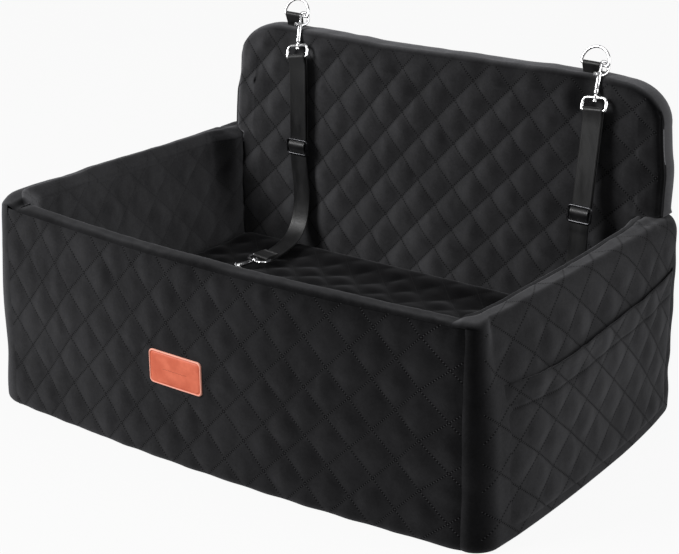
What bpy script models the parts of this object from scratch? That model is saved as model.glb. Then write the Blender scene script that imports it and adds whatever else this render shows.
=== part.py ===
"""A dog car seat: quilted foam walls, a tall back, a thick cushion, side pockets and two clip-on tethers."""
import bpy
import bmesh
import math
from mathutils import Matrix, Vector

for old_object in list(bpy.data.objects):
    bpy.data.objects.remove(old_object, do_unlink=True)

# Overall sizes, in metres. X runs to the right seen from the front, Y runs to the back, Z up.
front_half_width = 0.3245
front_end_depth = 0.2175
rear_depth = 0.2190
front_wall_height = 0.2580
side_wall_height = 0.2560
backrest_height = 0.4090
seam_gap = 0.0004
touch_gap = 0.0003
cut_overrun = 0.0100

# Foam walls
front_bow = 0.0160
wall_belly = 0.0045
front_lean = 0.0040
front_sag = 0.0025
wall_thickness = 0.0420
top_band_width = 0.0250
bottom_inset = 0.0060
bottom_edge_height = 0.0070
seam_drop = 0.0040
quilt_height = 0.0032
inner_quilt_height = 0.0014
cover_thickness = 0.0040
zip_slot_width = 0.0008
corner_radius = 0.0265
rear_corner_radius = 0.0185
wall_seam_inset = 0.0170
inner_half_width = front_half_width - wall_seam_inset
inner_lean = 0.0045
lean_start_share = 0.5
lean_fade_reach = 0.0790
lean_fade_length = 0.0350
inner_corner_gap = 0.0035
wall_rear_gap = 0.0005
height_change_length = 0.0875
side_front_inset = 0.0145
side_middle_inset = 0.0120
side_rear_inset = 0.0100
front_core_gap = 0.0030
side_core_gap = 0.0055
side_core_rear_gap = 0.0080
slot_depth = 0.0030
front_slot_half_length = 0.2000
side_slot_half_length = 0.1000
front_columns = 22
side_columns = 12
wall_rows = 8
corner_steps = 3

# Backrest
backrest_thickness = 0.0315
backrest_top_inset = 0.0125
backrest_waist_inset = 0.0065
backrest_half_width = front_half_width - backrest_top_inset
backrest_waist = front_half_width - backrest_waist_inset
backrest_corner_radius = 0.0520
backrest_columns = 22
backrest_rows = 13
backrest_edge = 0.0160
backrest_lower_edge = 0.0060
backrest_core_gap = 0.0020
backrest_front = rear_depth - backrest_thickness

# Base and cushion
base_top = 0.0200
base_gap = 0.0007
base_edge = 0.0015
base_cover_thickness = 0.0030
board_inset = 0.0060
board_edge = 0.0010
base_slot_reach = 0.0990
cushion_bottom = base_top + touch_gap
cushion_edge_height = 0.1020
cushion_top = 0.1235
cushion_crown = 0.0040
cushion_columns = 20
cushion_rows = 12
cushion_quilt_height = 0.0042

# Webbing and metal fittings
webbing_width = 0.0250
webbing_thickness = 0.0015
left_ring_place, right_ring_place = -0.2135, 0.2250
ring_half_width = 0.0182
ring_wire_radius = 0.0017
ring_corner = 0.0024
ring_bar_inset = 0.0190
ring_bar_depth = rear_depth - ring_bar_inset
left_ring_rise, right_ring_rise = 0.0140, 0.0180
ring_lean = math.radians(20)
hook_end_room = 0.0051
hook_place = ring_half_width - hook_end_room
hook_tilt = math.radians(23.5)
left_hook_roll, right_hook_roll = math.radians(-11.5), math.radians(-5)
hook_turn = math.radians(60)
eye_reach = 0.0536

half_share = 0.5
half_turn = math.pi
quarter_turn = math.pi / 2


def make_material(name, colour, roughness, metallic):
    material = bpy.data.materials.new(name)
    material.use_nodes = True
    shader = material.node_tree.nodes["Principled BSDF"]
    shader.inputs["Base Color"].default_value = (*colour, 1)
    shader.inputs["Roughness"].default_value = roughness
    shader.inputs["Metallic"].default_value = metallic
    return material


def velvet(name):
    return make_material(name, (0.012, 0.012, 0.013), 0.9, 0)


def foam(name):
    return make_material(name, (0.75, 0.73, 0.68), 0.95, 0)


def webbing(name):
    return make_material(name, (0.010, 0.010, 0.011), 0.5, 0)


def chrome(name):
    return make_material(name, (0.72, 0.72, 0.73), 0.12, 1)


def make_empty(name, matrix):
    empty = bpy.data.objects.new(name, None)
    bpy.context.scene.collection.objects.link(empty)
    empty.matrix_world = matrix
    bpy.context.view_layer.update()
    return empty


def make_solid(name, points, faces, material, frame=None, smooth=False):
    mesh = bpy.data.meshes.new(name)
    mesh.from_pydata([tuple(point) for point in points], [], faces)
    work = bmesh.new()
    work.from_mesh(mesh)
    bmesh.ops.recalc_face_normals(work, faces=work.faces)
    work.to_mesh(mesh)
    work.free()
    made = bpy.data.objects.new(name, mesh)
    bpy.context.scene.collection.objects.link(made)
    made.data.materials.append(material)
    if frame is not None:
        made.parent = frame
    if smooth:
        mesh.shade_smooth()
        mesh.set_sharp_from_angle(angle=math.radians(40))
    return made


def move_origin(made, place):
    """Puts a moving piece's origin on its joint's axis; the piece itself stays where it is."""
    made.data.transform(Matrix.Translation(-Vector(place)))
    made.location = place


def change(target, tool, operation):
    """Joins the tool to the target, or cuts it away, and hides the tool."""
    step = target.modifiers.new(tool.name, "BOOLEAN")
    step.operation = operation
    step.solver = "EXACT"
    step.object = tool
    tool.hide_render = True
    tool.display_type = "WIRE"


def blend(share):
    share = min(max(share, 0), 1)
    return share * share * (3 - 2 * share)


def mix(start, end, share):
    return start + (end - start) * share


def follow(table, place):
    """Reads a smooth curve through (place, value) pairs."""
    if place <= table[0][0]:
        return table[0][1]
    for index in range(len(table) - 1):
        start, end = table[index], table[index + 1]
        if place <= end[0]:
            before = table[max(index - 1, 0)]
            after = table[min(index + 2, len(table) - 1)]
            span = end[0] - start[0]
            slope_in = (end[1] - before[1]) / (end[0] - before[0]) * span
            slope_out = (after[1] - start[1]) / (after[0] - start[0]) * span
            share = (place - start[0]) / span
            square, cube = share ** 2, share ** 3
            return (start[1] * (2 * cube - 3 * square + 1) + slope_in * (cube - 2 * square + share)
                    + end[1] * (3 * square - 2 * cube) + slope_out * (cube - square))
    return table[-1][1]


def split_cell(corners, even):
    """Cuts a quilt cell along its stitch line, between the two corners where stitches cross."""
    first, second, third, fourth = corners
    if even:
        return [(first, second, third), (first, third, fourth)]
    return [(first, second, fourth), (second, third, fourth)]


def grid_faces(columns, rows, number):
    faces = []
    for column in range(columns):
        for row in range(rows):
            corners = (number(column, row), number(column + 1, row),
                       number(column + 1, row + 1), number(column, row + 1))
            faces += split_cell(corners, (column + row) % 2 == 0)
    return faces


def border(columns, rows):
    """Lists the cells round the edge of a grid, in order."""
    ring = [(column, 0) for column in range(columns)]
    ring += [(columns, row) for row in range(rows)]
    ring += [(column, rows) for column in range(columns, 0, -1)]
    ring += [(0, row) for row in range(rows, 0, -1)]
    return ring


def make_slab(name, outer, inner, material):
    """Closes two facing grids of points into one solid panel."""
    columns, rows = len(outer) - 1, len(outer[0]) - 1
    points = [point for column in outer for point in column] + [point for column in inner for point in column]
    half = (columns + 1) * (rows + 1)

    def outer_number(column, row):
        return column * (rows + 1) + row

    def inner_number(column, row):
        return half + column * (rows + 1) + row

    faces = grid_faces(columns, rows, outer_number) + grid_faces(columns, rows, inner_number)
    ring = border(columns, rows)
    for index, start in enumerate(ring):
        end = ring[(index + 1) % len(ring)]
        corners = (outer_number(*start), outer_number(*end), inner_number(*end), inner_number(*start))
        faces += split_cell(corners, start < end)
    return make_solid(name, points, faces, material)


def make_crowned(name, grid, rings, material):
    """Closes a quilted grid with rings of side points and one flat face behind."""
    columns, rows = len(grid) - 1, len(grid[0]) - 1
    points = [point for column in grid for point in column]
    faces = grid_faces(columns, rows, lambda column, row: column * (rows + 1) + row)
    last = [column * (rows + 1) + row for column, row in border(columns, rows)]
    for ring in rings:
        first = len(points)
        points += ring
        new = list(range(first, first + len(ring)))
        for index in range(len(new)):
            after = (index + 1) % len(new)
            faces += split_cell((last[index], last[after], new[after], new[index]), True)
        last = new
    faces.append(tuple(last))
    return make_solid(name, points, faces, material)


def make_box(name, low, high, material, frame=None):
    points = [(x, y, z) for x in (low[0], high[0]) for y in (low[1], high[1]) for z in (low[2], high[2])]
    faces = [(0, 1, 3, 2), (4, 6, 7, 5), (0, 4, 5, 1), (2, 3, 7, 6), (0, 2, 6, 4), (1, 5, 7, 3)]
    return make_solid(name, points, faces, material, frame)


def make_turned(name, profile, sides, material, frame=None, shift=(0, 0)):
    """Turns (radius, height) pairs about an upright axis."""
    points, faces = [], []
    rings = []
    for radius, height in profile:
        first = len(points)
        if radius == 0:
            points.append((shift[0], shift[1], height))
            rings.append([first] * sides)
            continue
        for side in range(sides):
            angle = 2 * math.pi * side / sides
            points.append((shift[0] + radius * math.cos(angle), shift[1] + radius * math.sin(angle), height))
        rings.append(list(range(first, first + sides)))
    for lower, upper in zip(rings, rings[1:]):
        for side in range(sides):
            after = (side + 1) % sides
            face = []
            for number in (lower[side], lower[after], upper[after], upper[side]):
                if number not in face:
                    face.append(number)
            if len(face) > 2:
                faces.append(tuple(face))
    if profile[0][0]:
        faces.append(tuple(reversed(rings[0])))
    if profile[-1][0]:
        faces.append(tuple(rings[-1]))
    return make_solid(name, points, faces, material, frame, True)


def smooth_path(controls, steps, closed=False):
    """Runs a smooth curve through the control points."""
    count = len(controls)
    path = []
    for index in range(count if closed else count - 1):
        quad = []
        for shift in (-1, 0, 1, 2):
            place = index + shift
            place = place % count if closed else min(max(place, 0), count - 1)
            quad.append(Vector(controls[place]))
        for step in range(steps):
            share = step / steps
            square, cube = share ** 2, share ** 3
            path.append(half_share * (2 * quad[1] + (quad[2] - quad[0]) * share
                                      + (2 * quad[0] - 5 * quad[1] + 4 * quad[2] - quad[3]) * square
                                      + (3 * quad[1] - quad[0] - 3 * quad[2] + quad[3]) * cube))
    if not closed:
        path.append(Vector(controls[-1]))
    return path


def make_tube(name, path, radii, sides, material, frame=None, closed=False):
    """Sweeps a round wire along a path in one plane or nearly so."""
    count = len(path)
    points, faces = [], []
    side_way = None
    for index, centre in enumerate(path):
        before = path[(index - 1) % count] if closed else path[max(index - 1, 0)]
        after = path[(index + 1) % count] if closed else path[min(index + 1, count - 1)]
        ahead = (after - before).normalized()
        if side_way is None:
            side_way = ahead.orthogonal()
        side_way = (side_way - ahead * side_way.dot(ahead)).normalized()
        other_way = ahead.cross(side_way)
        radius = radii[index] if isinstance(radii, list) else radii
        for side in range(sides):
            angle = 2 * math.pi * side / sides
            points.append(centre + side_way * radius * math.cos(angle) + other_way * radius * math.sin(angle))
    turn = 0
    if closed:
        start = points[(count - 1) * sides]
        turn = min(range(sides), key=lambda side: (points[side] - start).length)
    for index in range(count if closed else count - 1):
        offset = turn if closed and index == count - 1 else 0
        after = (index + 1) % count
        for side in range(sides):
            faces.append((index * sides + side, index * sides + (side + 1) % sides,
                          after * sides + (side + 1 + offset) % sides,
                          after * sides + (side + offset) % sides))
    if not closed:
        faces.append(tuple(range(sides)))
        faces.append(tuple(range((count - 1) * sides, count * sides)))
    return make_solid(name, points, faces, material, frame, True)


def make_ribbon(name, path, ways, width, thickness, material, frame=None):
    """Sweeps flat webbing along a path. Each way is the direction across the webbing."""
    points, faces = [], []
    for index, centre in enumerate(path):
        ahead = (path[min(index + 1, len(path) - 1)] - path[max(index - 1, 0)]).normalized()
        across = (ways[index] - ahead * ways[index].dot(ahead)).normalized()
        out = ahead.cross(across)
        for side, face in ((-1, -1), (1, -1), (1, 1), (-1, 1)):
            points.append(centre + across * side * width / 2 + out * face * thickness / 2)
    for index in range(len(path) - 1):
        for side in range(4):
            after = (side + 1) % 4
            faces.append((index * 4 + side, index * 4 + after, index * 4 + 4 + after, index * 4 + 4 + side))
    faces.append((0, 1, 2, 3))
    faces.append(tuple(range(len(points) - 4, len(points))))
    return make_solid(name, points, faces, material, frame)


# Shapes of the walls, shared by the pieces that touch them

wall_front = -front_end_depth + corner_radius
wall_rear = rear_depth - wall_rear_gap - rear_corner_radius
wall_inner_front = -front_end_depth + wall_thickness + inner_corner_gap
side_plan_shares = [(-0.878, 1.0786), (-0.676, 1.0847), (-0.276, 1.0801), (0.183, 1.0663), (0.671, 1.0478),
                    (0.936, 1.0354)]
inner_plan_shares = [(-0.828, 1.0010), (0, 0.9935), (0.548, 0.9707), (0.822, 0.9567), (1.005, 0.9554)]


def places(shares, half_width):
    """Turns shares of the depth and of a half width into the points of a plan."""
    return [(along * (rear_depth if along > 0 else front_end_depth), across * half_width)
            for along, across in shares]


side_plan = places(side_plan_shares, front_half_width)
inner_plan = places(inner_plan_shares, inner_half_width)
side_top_inset = [(wall_front, side_front_inset), (0, side_middle_inset), (wall_rear, side_rear_inset)]


def front_height(x):
    return front_wall_height - front_sag * math.cos(x / front_half_width * quarter_turn)


def front_outer(x, rise):
    """Depth of the front wall's outer face at a share of its height."""
    bow = front_bow * math.cos(x / front_half_width * quarter_turn)
    return -(front_end_depth + bow + front_lean * rise + wall_belly * math.sin(half_turn * rise))


def front_inner(x, rise):
    """Depth of the front wall's inner face: upright beside the cushion, then leaning to the top band."""
    low = wall_thickness - front_end_depth - front_bow * math.cos(x / front_half_width * quarter_turn)
    high = front_outer(x, 1) + top_band_width
    return mix(low, high, blend((rise - lean_start_share) / (1 - lean_start_share)))


def side_height(y):
    return mix(front_wall_height, side_wall_height, blend((y + front_end_depth) / height_change_length))


def side_outer(y, rise):
    """Half width of a side wall's outer face at a share of its height."""
    belly = wall_belly * math.sin(half_turn * rise)
    return follow(side_plan, y) + belly - follow(side_top_inset, y) * rise ** 2


def side_inner(y, rise):
    fade = 1 - blend((y - rear_depth + lean_fade_reach) / lean_fade_length)
    lean = inner_lean * fade * blend((rise - lean_start_share) / (1 - lean_start_share))
    return follow(inner_plan, y) + lean


def row_heights(height):
    """Heights of a wall's rows: the bottom edge, then evenly spaced quilt rows up to the top seam."""
    rows = [0, bottom_edge_height]
    top = height - seam_drop
    for row in range(1, wall_rows + 1):
        rows.append(mix(bottom_edge_height, top, row / wall_rows))
    return rows


def quilt(column, row, columns, height):
    """Raises the middle of each diamond; stitch crossings and seams stay low."""
    inside = 0 < column < columns and 1 < row < wall_rows + 1
    return height if inside and (column + row) % 2 else 0


label_place, label_level = -0.0505, 0.1185
label_width, label_height = 0.0820, 0.0430
label_thickness = 0.0016
label_corner = 0.0050
pocket_front_gap, pocket_rear_gap = 0.0050, 0.0020
pocket_front, pocket_rear = wall_front + pocket_front_gap, wall_rear - pocket_rear_gap
pocket_bottom = 0.0120
pocket_mouth_shares = [(0, 0.745), (0.25, 0.693), (0.484, 0.693), (0.693, 0.709), (1, 0.796)]
pocket_mouth = [(mix(pocket_front, pocket_rear, along), side_wall_height * up)
                for along, up in pocket_mouth_shares]
cushion_line_share = 0.5


def front_points(column, row, height):
    x = mix(-front_half_width, front_half_width, column / front_columns)
    rise = height / front_height(x)
    outer_rise = quilt(column, row, front_columns, quilt_height)
    near_label = abs(x - label_place) < label_width * 0.8 and abs(height - label_level) < label_height
    if near_label:
        outer_rise = 0
    inner_rise = quilt(column, row, front_columns, inner_quilt_height) if rise > cushion_line_share else 0
    inset = bottom_inset if row == 0 else 0
    inner_x = x * inner_half_width / front_half_width
    outer = Vector((x, front_outer(x, rise) - outer_rise + inset, height))
    inner = Vector((inner_x, front_inner(inner_x, rise) + inner_rise, height))
    return outer, inner


def add_top(outer, inner, height):
    """Adds the two crown points of the top band to a wall's outer and inner rows."""
    crown_share = 0.22
    start, end = outer[-1], inner[-1]
    first = start.lerp(end, crown_share)
    second = end.lerp(start, crown_share)
    outer.append(Vector((first.x, first.y, height)))
    inner.append(Vector((second.x, second.y, height)))


def make_front_wall():
    outer_grid, inner_grid = [], []
    for column in range(front_columns + 1):
        x = mix(-front_half_width, front_half_width, column / front_columns)
        outer, inner = [], []
        for row, height in enumerate(row_heights(front_height(x))):
            outside, inside = front_points(column, row, height)
            outer.append(outside)
            inner.append(inside)
        add_top(outer, inner, front_height(x))
        outer_grid.append(outer)
        inner_grid.append(inner)
    return make_slab("front_wall_cover", outer_grid, inner_grid, velvet("front wall velvet"))


def make_front_core(name, inset, material):
    """The foam of the front wall, or the hollow that holds it."""
    columns, heights = 8, 4
    reach = inner_half_width - front_core_gap - inset
    outer_grid, inner_grid = [], []
    for column in range(columns + 1):
        x = mix(-reach, reach, column / columns)
        outer, inner = [], []
        for row in range(heights + 1):
            height = mix(inset, front_height(x) - inset - seam_drop, row / heights)
            rise = height / front_height(x)
            outer.append(Vector((x, front_outer(x, rise) + inset, height)))
            inner.append(Vector((x, front_inner(x, rise) - inset, height)))
        outer_grid.append(outer)
        inner_grid.append(inner)
    return make_slab(name, outer_grid, inner_grid, material)


def side_station(index, rise):
    """Outer and inner plan points of the right wall at one station: front corner, side, rear corner."""
    first_inner = front_inner(inner_half_width, rise)
    if index < corner_steps:
        share = index / corner_steps
        angle = share * quarter_turn
        swell = wall_belly * math.sin(half_turn * rise)
        swell += front_lean * rise * (1 - share) - follow(side_top_inset, wall_front) * rise ** 2 * share
        reach = corner_radius + swell
        stretch = mix(0, follow(side_plan, wall_front) - front_half_width - corner_radius, share)
        centre = Vector((front_half_width + seam_gap + stretch, wall_front))
        outer = centre + Vector((math.sin(angle), -math.cos(angle))) * reach
        inner = Vector((inner_half_width + seam_gap, mix(first_inner, wall_inner_front, share)))
        return outer, inner
    place = index - corner_steps
    if place <= side_columns:
        share = place / side_columns
        y = mix(wall_front, wall_rear, share)
        inner_y = mix(wall_inner_front, wall_rear, share)
        return Vector((side_outer(y, rise), y)), Vector((side_inner(inner_y, rise), inner_y))
    share = (place - side_columns) / corner_steps
    angle = share * quarter_turn
    centre = Vector((side_outer(wall_rear, rise) - rear_corner_radius, wall_rear))
    outer = centre + Vector((math.cos(angle), math.sin(angle))) * rear_corner_radius
    inner_y = mix(wall_rear, wall_rear + rear_corner_radius, share)
    return outer, Vector((side_inner(inner_y, rise), inner_y))


def make_side_wall(name, mirror):
    stations = side_columns + corner_steps * 2
    outer_grid, inner_grid = [], []
    for index in range(stations + 1):
        base = side_station(index, 0)[0]
        height = side_height(base.y)
        outer, inner = [], []
        for row, level in enumerate(row_heights(height)):
            rise = level / height
            outside, inside = side_station(index, rise)
            out_way = (outside - inside).normalized() if index else Vector((0, -1))
            on_side = corner_steps < index < side_columns + corner_steps
            behind_pocket = level < follow(pocket_mouth, outside.y) + height / wall_rows
            lift = quilt(index, row, stations, quilt_height) if on_side and not behind_pocket else 0
            if on_side:
                out_way = Vector((1, 0))
            inner_lift = quilt(index, row, stations, inner_quilt_height)
            if rise < cushion_line_share or not corner_steps < index < side_columns + 1:
                inner_lift = 0
            outside = outside + out_way * (lift - (bottom_inset if row == 0 else 0))
            outer.append(Vector((outside.x * mirror, outside.y, level)))
            inner.append(Vector(((inside.x - inner_lift) * mirror, inside.y, level)))
        add_top(outer, inner, height)
        outer_grid.append(outer)
        inner_grid.append(inner)
    return make_slab(name, outer_grid, inner_grid, velvet(name + " velvet"))


def make_side_core(name, mirror, inset, material):
    columns, heights = 6, 4
    start = -front_end_depth + wall_thickness + side_core_gap + inset
    end = rear_depth - side_core_rear_gap - inset
    outer_grid, inner_grid = [], []
    for column in range(columns + 1):
        y = mix(start, end, column / columns)
        outer, inner = [], []
        for row in range(heights + 1):
            height = mix(inset, side_height(y) - inset - seam_drop, row / heights)
            rise = height / side_height(y)
            near_end = side_core_rear_gap if column == columns else 0
            outer.append(Vector(((side_outer(y, rise) - inset - near_end) * mirror, y, height)))
            inner.append(Vector(((side_inner(y, rise) + inset) * mirror, y, height)))
        outer_grid.append(outer)
        inner_grid.append(inner)
    return make_slab(name, outer_grid, inner_grid, material)


def make_backrest():
    """The tall back: a quilted face, rounded edges and a flat rear."""
    grid = []
    for column in range(backrest_columns + 1):
        share = column / backrest_columns * 2 - 1
        line = []
        for row in range(backrest_rows + 1):
            rise = row / backrest_rows
            x, z = backrest_outline(share, rise, backrest_edge * half_share, backrest_lower_edge)
            inside = 0 < column < backrest_columns and 0 < row < backrest_rows
            lift = quilt_height if inside and (column + row) % 2 and z > cushion_top else 0
            edge = column in (0, backrest_columns) or row == backrest_rows
            line.append(Vector((x, backrest_front - lift + (backrest_edge * 0.12 if edge else 0), z)))
        grid.append(line)
    depths = ((0, backrest_front + backrest_edge * 0.7), (0, rear_depth - backrest_edge * 0.6),
              (backrest_edge * 0.55, rear_depth))
    rings = []
    for inset, depth in depths:
        ring = []
        for column, row in border(backrest_columns, backrest_rows):
            x, z = backrest_outline(column / backrest_columns * 2 - 1, row / backrest_rows, inset, inset)
            ring.append(Vector((x, depth, z)))
        rings.append(ring)
    return make_crowned("backrest_cover", grid, rings, velvet("backrest velvet"))


def backrest_outline(share, rise, inset, low):
    """Maps column and row shares to the back's outline, with rounded top corners."""
    half = mix(backrest_waist, backrest_half_width, blend((rise - 0.6) / 0.4)) - inset
    x = half * share
    past = max(abs(x) - (half - backrest_corner_radius), 0)
    drop = backrest_corner_radius - math.sqrt(max(backrest_corner_radius ** 2 - past ** 2, 0))
    top = backrest_height - inset - drop * 0.85
    return x, mix(low, top, rise)


def cut_backrest_sides(cover):
    """The lower part of the back fits between the side walls."""
    for side in (-1, 1):
        inner_side = side * (follow(inner_plan, rear_depth) - touch_gap)
        outer_side = side * (backrest_waist + cut_overrun)
        low = (min(inner_side, outer_side), backrest_front - cut_overrun, -cut_overrun)
        high = (max(inner_side, outer_side), rear_depth + cut_overrun, side_wall_height + touch_gap)
        name = "backrest_side_cutter" + ("_left" if side < 0 else "_right")
        cutter = make_box(name, low, high, foam("cutter"))
        change(cover, cutter, "DIFFERENCE")


def make_back_core(name, inset, material):
    reach = follow(inner_plan, rear_depth) - backrest_core_gap - inset
    low = (-reach, backrest_front + inset, backrest_lower_edge + inset)
    high = (reach, rear_depth - inset, backrest_height - backrest_edge - inset)
    core = make_box(name, low, high, material)
    work = bmesh.new()
    work.from_mesh(core.data)
    upright = [edge for edge in work.edges if abs(edge.verts[0].co.y - edge.verts[1].co.y) > inset
               and edge.verts[0].co.z > cushion_top]
    bmesh.ops.bevel(work, geom=upright, offset=backrest_corner_radius * 0.7, segments=4, profile=0.5,
                    affect="EDGES")
    work.to_mesh(core.data)
    work.free()
    return core


def floor_plan(across, along, gap):
    """A point of the floor inside the walls, from shares across and along it."""
    reach = inner_half_width - gap
    front = front_inner(reach * across, 0.3) + gap
    rear = backrest_front - gap
    y = mix(front, rear, along)
    return follow(inner_plan, y) * across - gap * across, y


def floor_outline(gap, columns=8, rows=4):
    outline = []
    for column, row in border(columns, rows):
        x, y = floor_plan(column / columns * 2 - 1, row / rows, gap)
        outline.append((x, y))
    return outline


def make_floor(name, gap, low, high, edge, material):
    """A flat plate that fills the plan between the walls."""
    points, faces = [], []
    levels = [(gap + edge, low), (gap, low + edge), (gap, high - edge), (gap + edge, high)]
    for inset, height in levels:
        points += [(x, y, height) for x, y in floor_outline(inset)]
    count = len(points) // len(levels)
    for level in range(len(levels) - 1):
        for index in range(count):
            after = (index + 1) % count
            faces.append((level * count + index, level * count + after,
                          (level + 1) * count + after, (level + 1) * count + index))
    faces.append(tuple(range(count)))
    faces.append(tuple(range(len(points) - count, len(points))))
    return make_solid(name, points, faces, material)


cushion_gap = 0.0005
cushion_rear_inset = 0.0075
cushion_edge_radius = 0.0200
cushion_drawn_in, drawn_in_span = 0.0015, 0.0280
cushion_edge_inset = 0.0020
cushion_bottom_inset = 0.0040
cushion_core_margin = 0.0240
core_shoulder_rise, core_foot_drop = 0.0150, 0.0260
cushion_slot_reach = 0.0195
zip_height = 0.0600
zip_half_length = 0.2100
zip_tape_half_height = 0.0060
zip_tape_thickness = 0.0012
zip_pull_place = 0.1800


def cushion_plan(across, along, inset):
    x, y = floor_plan(across, along, cushion_gap + inset)
    return x, y - cushion_rear_inset * blend(along)


def cushion_surface(across, along):
    """Height of the cushion's top: crowned in the middle and rolled down at the edges."""
    side_room = (1 - abs(across)) * inner_half_width
    end_room = min(along, 1 - along) * (rear_depth + front_end_depth)
    room = min(side_room, end_room)
    roll = 1 - min(room / cushion_edge_radius, 1)
    crown = cushion_crown * math.cos(across * quarter_turn) * math.cos((along - 0.5) * half_turn)
    drop = (cushion_top - cushion_edge_height) * (1 - math.sqrt(1 - roll ** 2))
    return cushion_top - cushion_crown + crown - drop


def make_cushion():
    grid = []
    for column in range(cushion_columns + 1):
        line = []
        for row in range(cushion_rows + 1):
            across, along = column / cushion_columns * 2 - 1, row / cushion_rows
            inside = 0 < column < cushion_columns and 0 < row < cushion_rows
            lift = cushion_quilt_height if inside and (column + row) % 2 else 0
            x, y = cushion_plan(across, along, 0 if inside else cushion_edge_inset)
            height = cushion_surface(across, along) + lift - cushion_quilt_height * half_share
            line.append(Vector((x, y, height)))
        grid.append(line)
    levels = ((0, zip_height + drawn_in_span), (cushion_drawn_in, zip_height),
              (0, zip_height - drawn_in_span), (cushion_bottom_inset, cushion_bottom))
    rings = []
    for inset, height in levels:
        ring = []
        for column, row in border(cushion_columns, cushion_rows):
            x, y = cushion_plan(column / cushion_columns * 2 - 1, row / cushion_rows, inset)
            ring.append(Vector((x, y, height)))
        rings.append(ring)
    return make_crowned("cushion_cover", grid, rings, velvet("cushion velvet"))


def make_cushion_core(name, inset, material):
    columns, rows = 8, 6
    grid = []
    for column in range(columns + 1):
        line = []
        for row in range(rows + 1):
            across, along = column / columns * 2 - 1, row / rows
            x, y = cushion_plan(across, along, inset + cushion_core_margin)
            height = mix(cushion_surface(0.8 * across, mix(0.5, along, 0.8)), cushion_edge_height, 0.3)
            line.append(Vector((x, y, height - inset - cushion_quilt_height)))
        grid.append(line)
    rings = []
    levels = ((inset, zip_height + core_shoulder_rise), (inset, zip_height - core_foot_drop),
              (inset + cushion_bottom_inset, cushion_bottom + inset))
    for out, height in levels:
        ring = []
        for column, row in border(columns, rows):
            x, y = cushion_plan(column / columns * 2 - 1, row / rows, out)
            ring.append(Vector((x, y, height)))
        rings.append(ring)
    return make_crowned(name, grid, rings, material)


def hollow(cover, core, slot_low, slot_high):
    """Hollows a cover for its foam and cuts the thin slot where its zip closes."""
    slot = make_box(cover.name + "_slot_cutter", slot_low, slot_high, foam("cutter"))
    change(cover, core, "DIFFERENCE")
    change(cover, slot, "DIFFERENCE")


def make_walls():
    slot = zip_slot_width / 2
    deep = cover_thickness + slot_depth
    cover = make_front_wall()
    middle = front_outer(0, 0) + wall_thickness / 2
    hollow(cover, make_front_core("front_hollow_cutter", cover_thickness, foam("cutter")),
           (-front_slot_half_length, middle - slot, -deep), (front_slot_half_length, middle + slot, deep))
    make_front_core("front_wall_foam", cover_thickness + touch_gap, foam("front foam"))
    for side, name in ((-1, "left"), (1, "right")):
        cover = make_side_wall(name + "_wall_cover", side)
        middle = side * (side_inner(0, 0) + side_outer(0, 0)) / 2
        hollow(cover, make_side_core(name + "_hollow_cutter", side, cover_thickness, foam("cutter")),
               (middle - slot, -side_slot_half_length, -deep), (middle + slot, side_slot_half_length, deep))
        make_side_core(name + "_wall_foam", side, cover_thickness + touch_gap, foam(name + " foam"))


def make_back():
    cover = make_backrest()
    cut_backrest_sides(cover)
    middle = (backrest_front + rear_depth) / 2
    slot = zip_slot_width / 2
    deep = cover_thickness + slot_depth
    hollow(cover, make_back_core("back_hollow_cutter", cover_thickness, foam("cutter")),
           (-front_slot_half_length, middle - slot, -deep),
           (front_slot_half_length, middle + slot, deep + backrest_lower_edge))
    make_back_core("backrest_foam", cover_thickness + touch_gap, foam("backrest foam"))


def make_bottom():
    slot_place = rear_depth - base_slot_reach
    cover = make_floor("base_cover", base_gap, 0, base_top, base_edge, velvet("base fabric"))
    core_low, core_high = base_cover_thickness, base_top - base_cover_thickness
    core = make_floor("base_hollow_cutter", board_inset, core_low, core_high, board_edge, foam("cutter"))
    hollow(cover, core, (-front_slot_half_length, slot_place, -base_cover_thickness),
           (front_slot_half_length, slot_place + zip_slot_width, core_low + base_cover_thickness))
    make_floor("base_board", board_inset + touch_gap, core_low + touch_gap, core_high - touch_gap, board_edge,
               foam("base board"))


def make_cushion_set():
    cover = make_cushion()
    slot = zip_slot_width / 2
    rear = cushion_plan(0, 1, 0)[1]
    hollow(cover, make_cushion_core("cushion_hollow_cutter", cover_thickness, foam("cutter")),
           (-zip_half_length, rear - cushion_slot_reach, zip_height - slot),
           (zip_half_length, rear + cut_overrun, zip_height + slot))
    make_cushion_core("cushion_filling", cover_thickness + touch_gap, foam("cushion foam"))
    drawn_in = cushion_drawn_in * (1 - zip_tape_half_height / drawn_in_span)
    face = cushion_plan(0, 1, drawn_in)[1] + touch_gap
    make_box("cushion_zip_tape", (-zip_half_length, face, zip_height - zip_tape_half_height),
             (zip_half_length, face + zip_tape_thickness, zip_height + zip_tape_half_height),
             webbing("zip tape"))
    make_zip_pull(face + zip_tape_thickness + touch_gap)


def make_zip_pull(face):
    """The zip's slider with its pull tab hanging flat."""
    body_half, body_depth = 0.0040, 0.0022
    tab_half, tab_drop, tab_depth = 0.0030, 0.0260, 0.0014
    frame = make_empty("zip_pull_frame", Matrix.Translation((zip_pull_place, face, zip_height)))
    body = make_box("cushion_zip_pull", (-body_half, 0, -body_half), (body_half, body_depth, body_half),
                    make_material("zip metal", (0.05, 0.05, 0.05), 0.4, 1), frame)
    tab = make_box("zip_tab_tool", (-tab_half, body_depth - tab_depth, -tab_drop),
                   (tab_half, body_depth + tab_depth / 2, body_half / 2), foam("cutter"), frame)
    change(body, tab, "UNION")


pocket_thickness = 0.0026
pocket_bulge = 0.0068
pocket_columns, pocket_rows = 12, 5
hem_height = 0.0130


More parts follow.
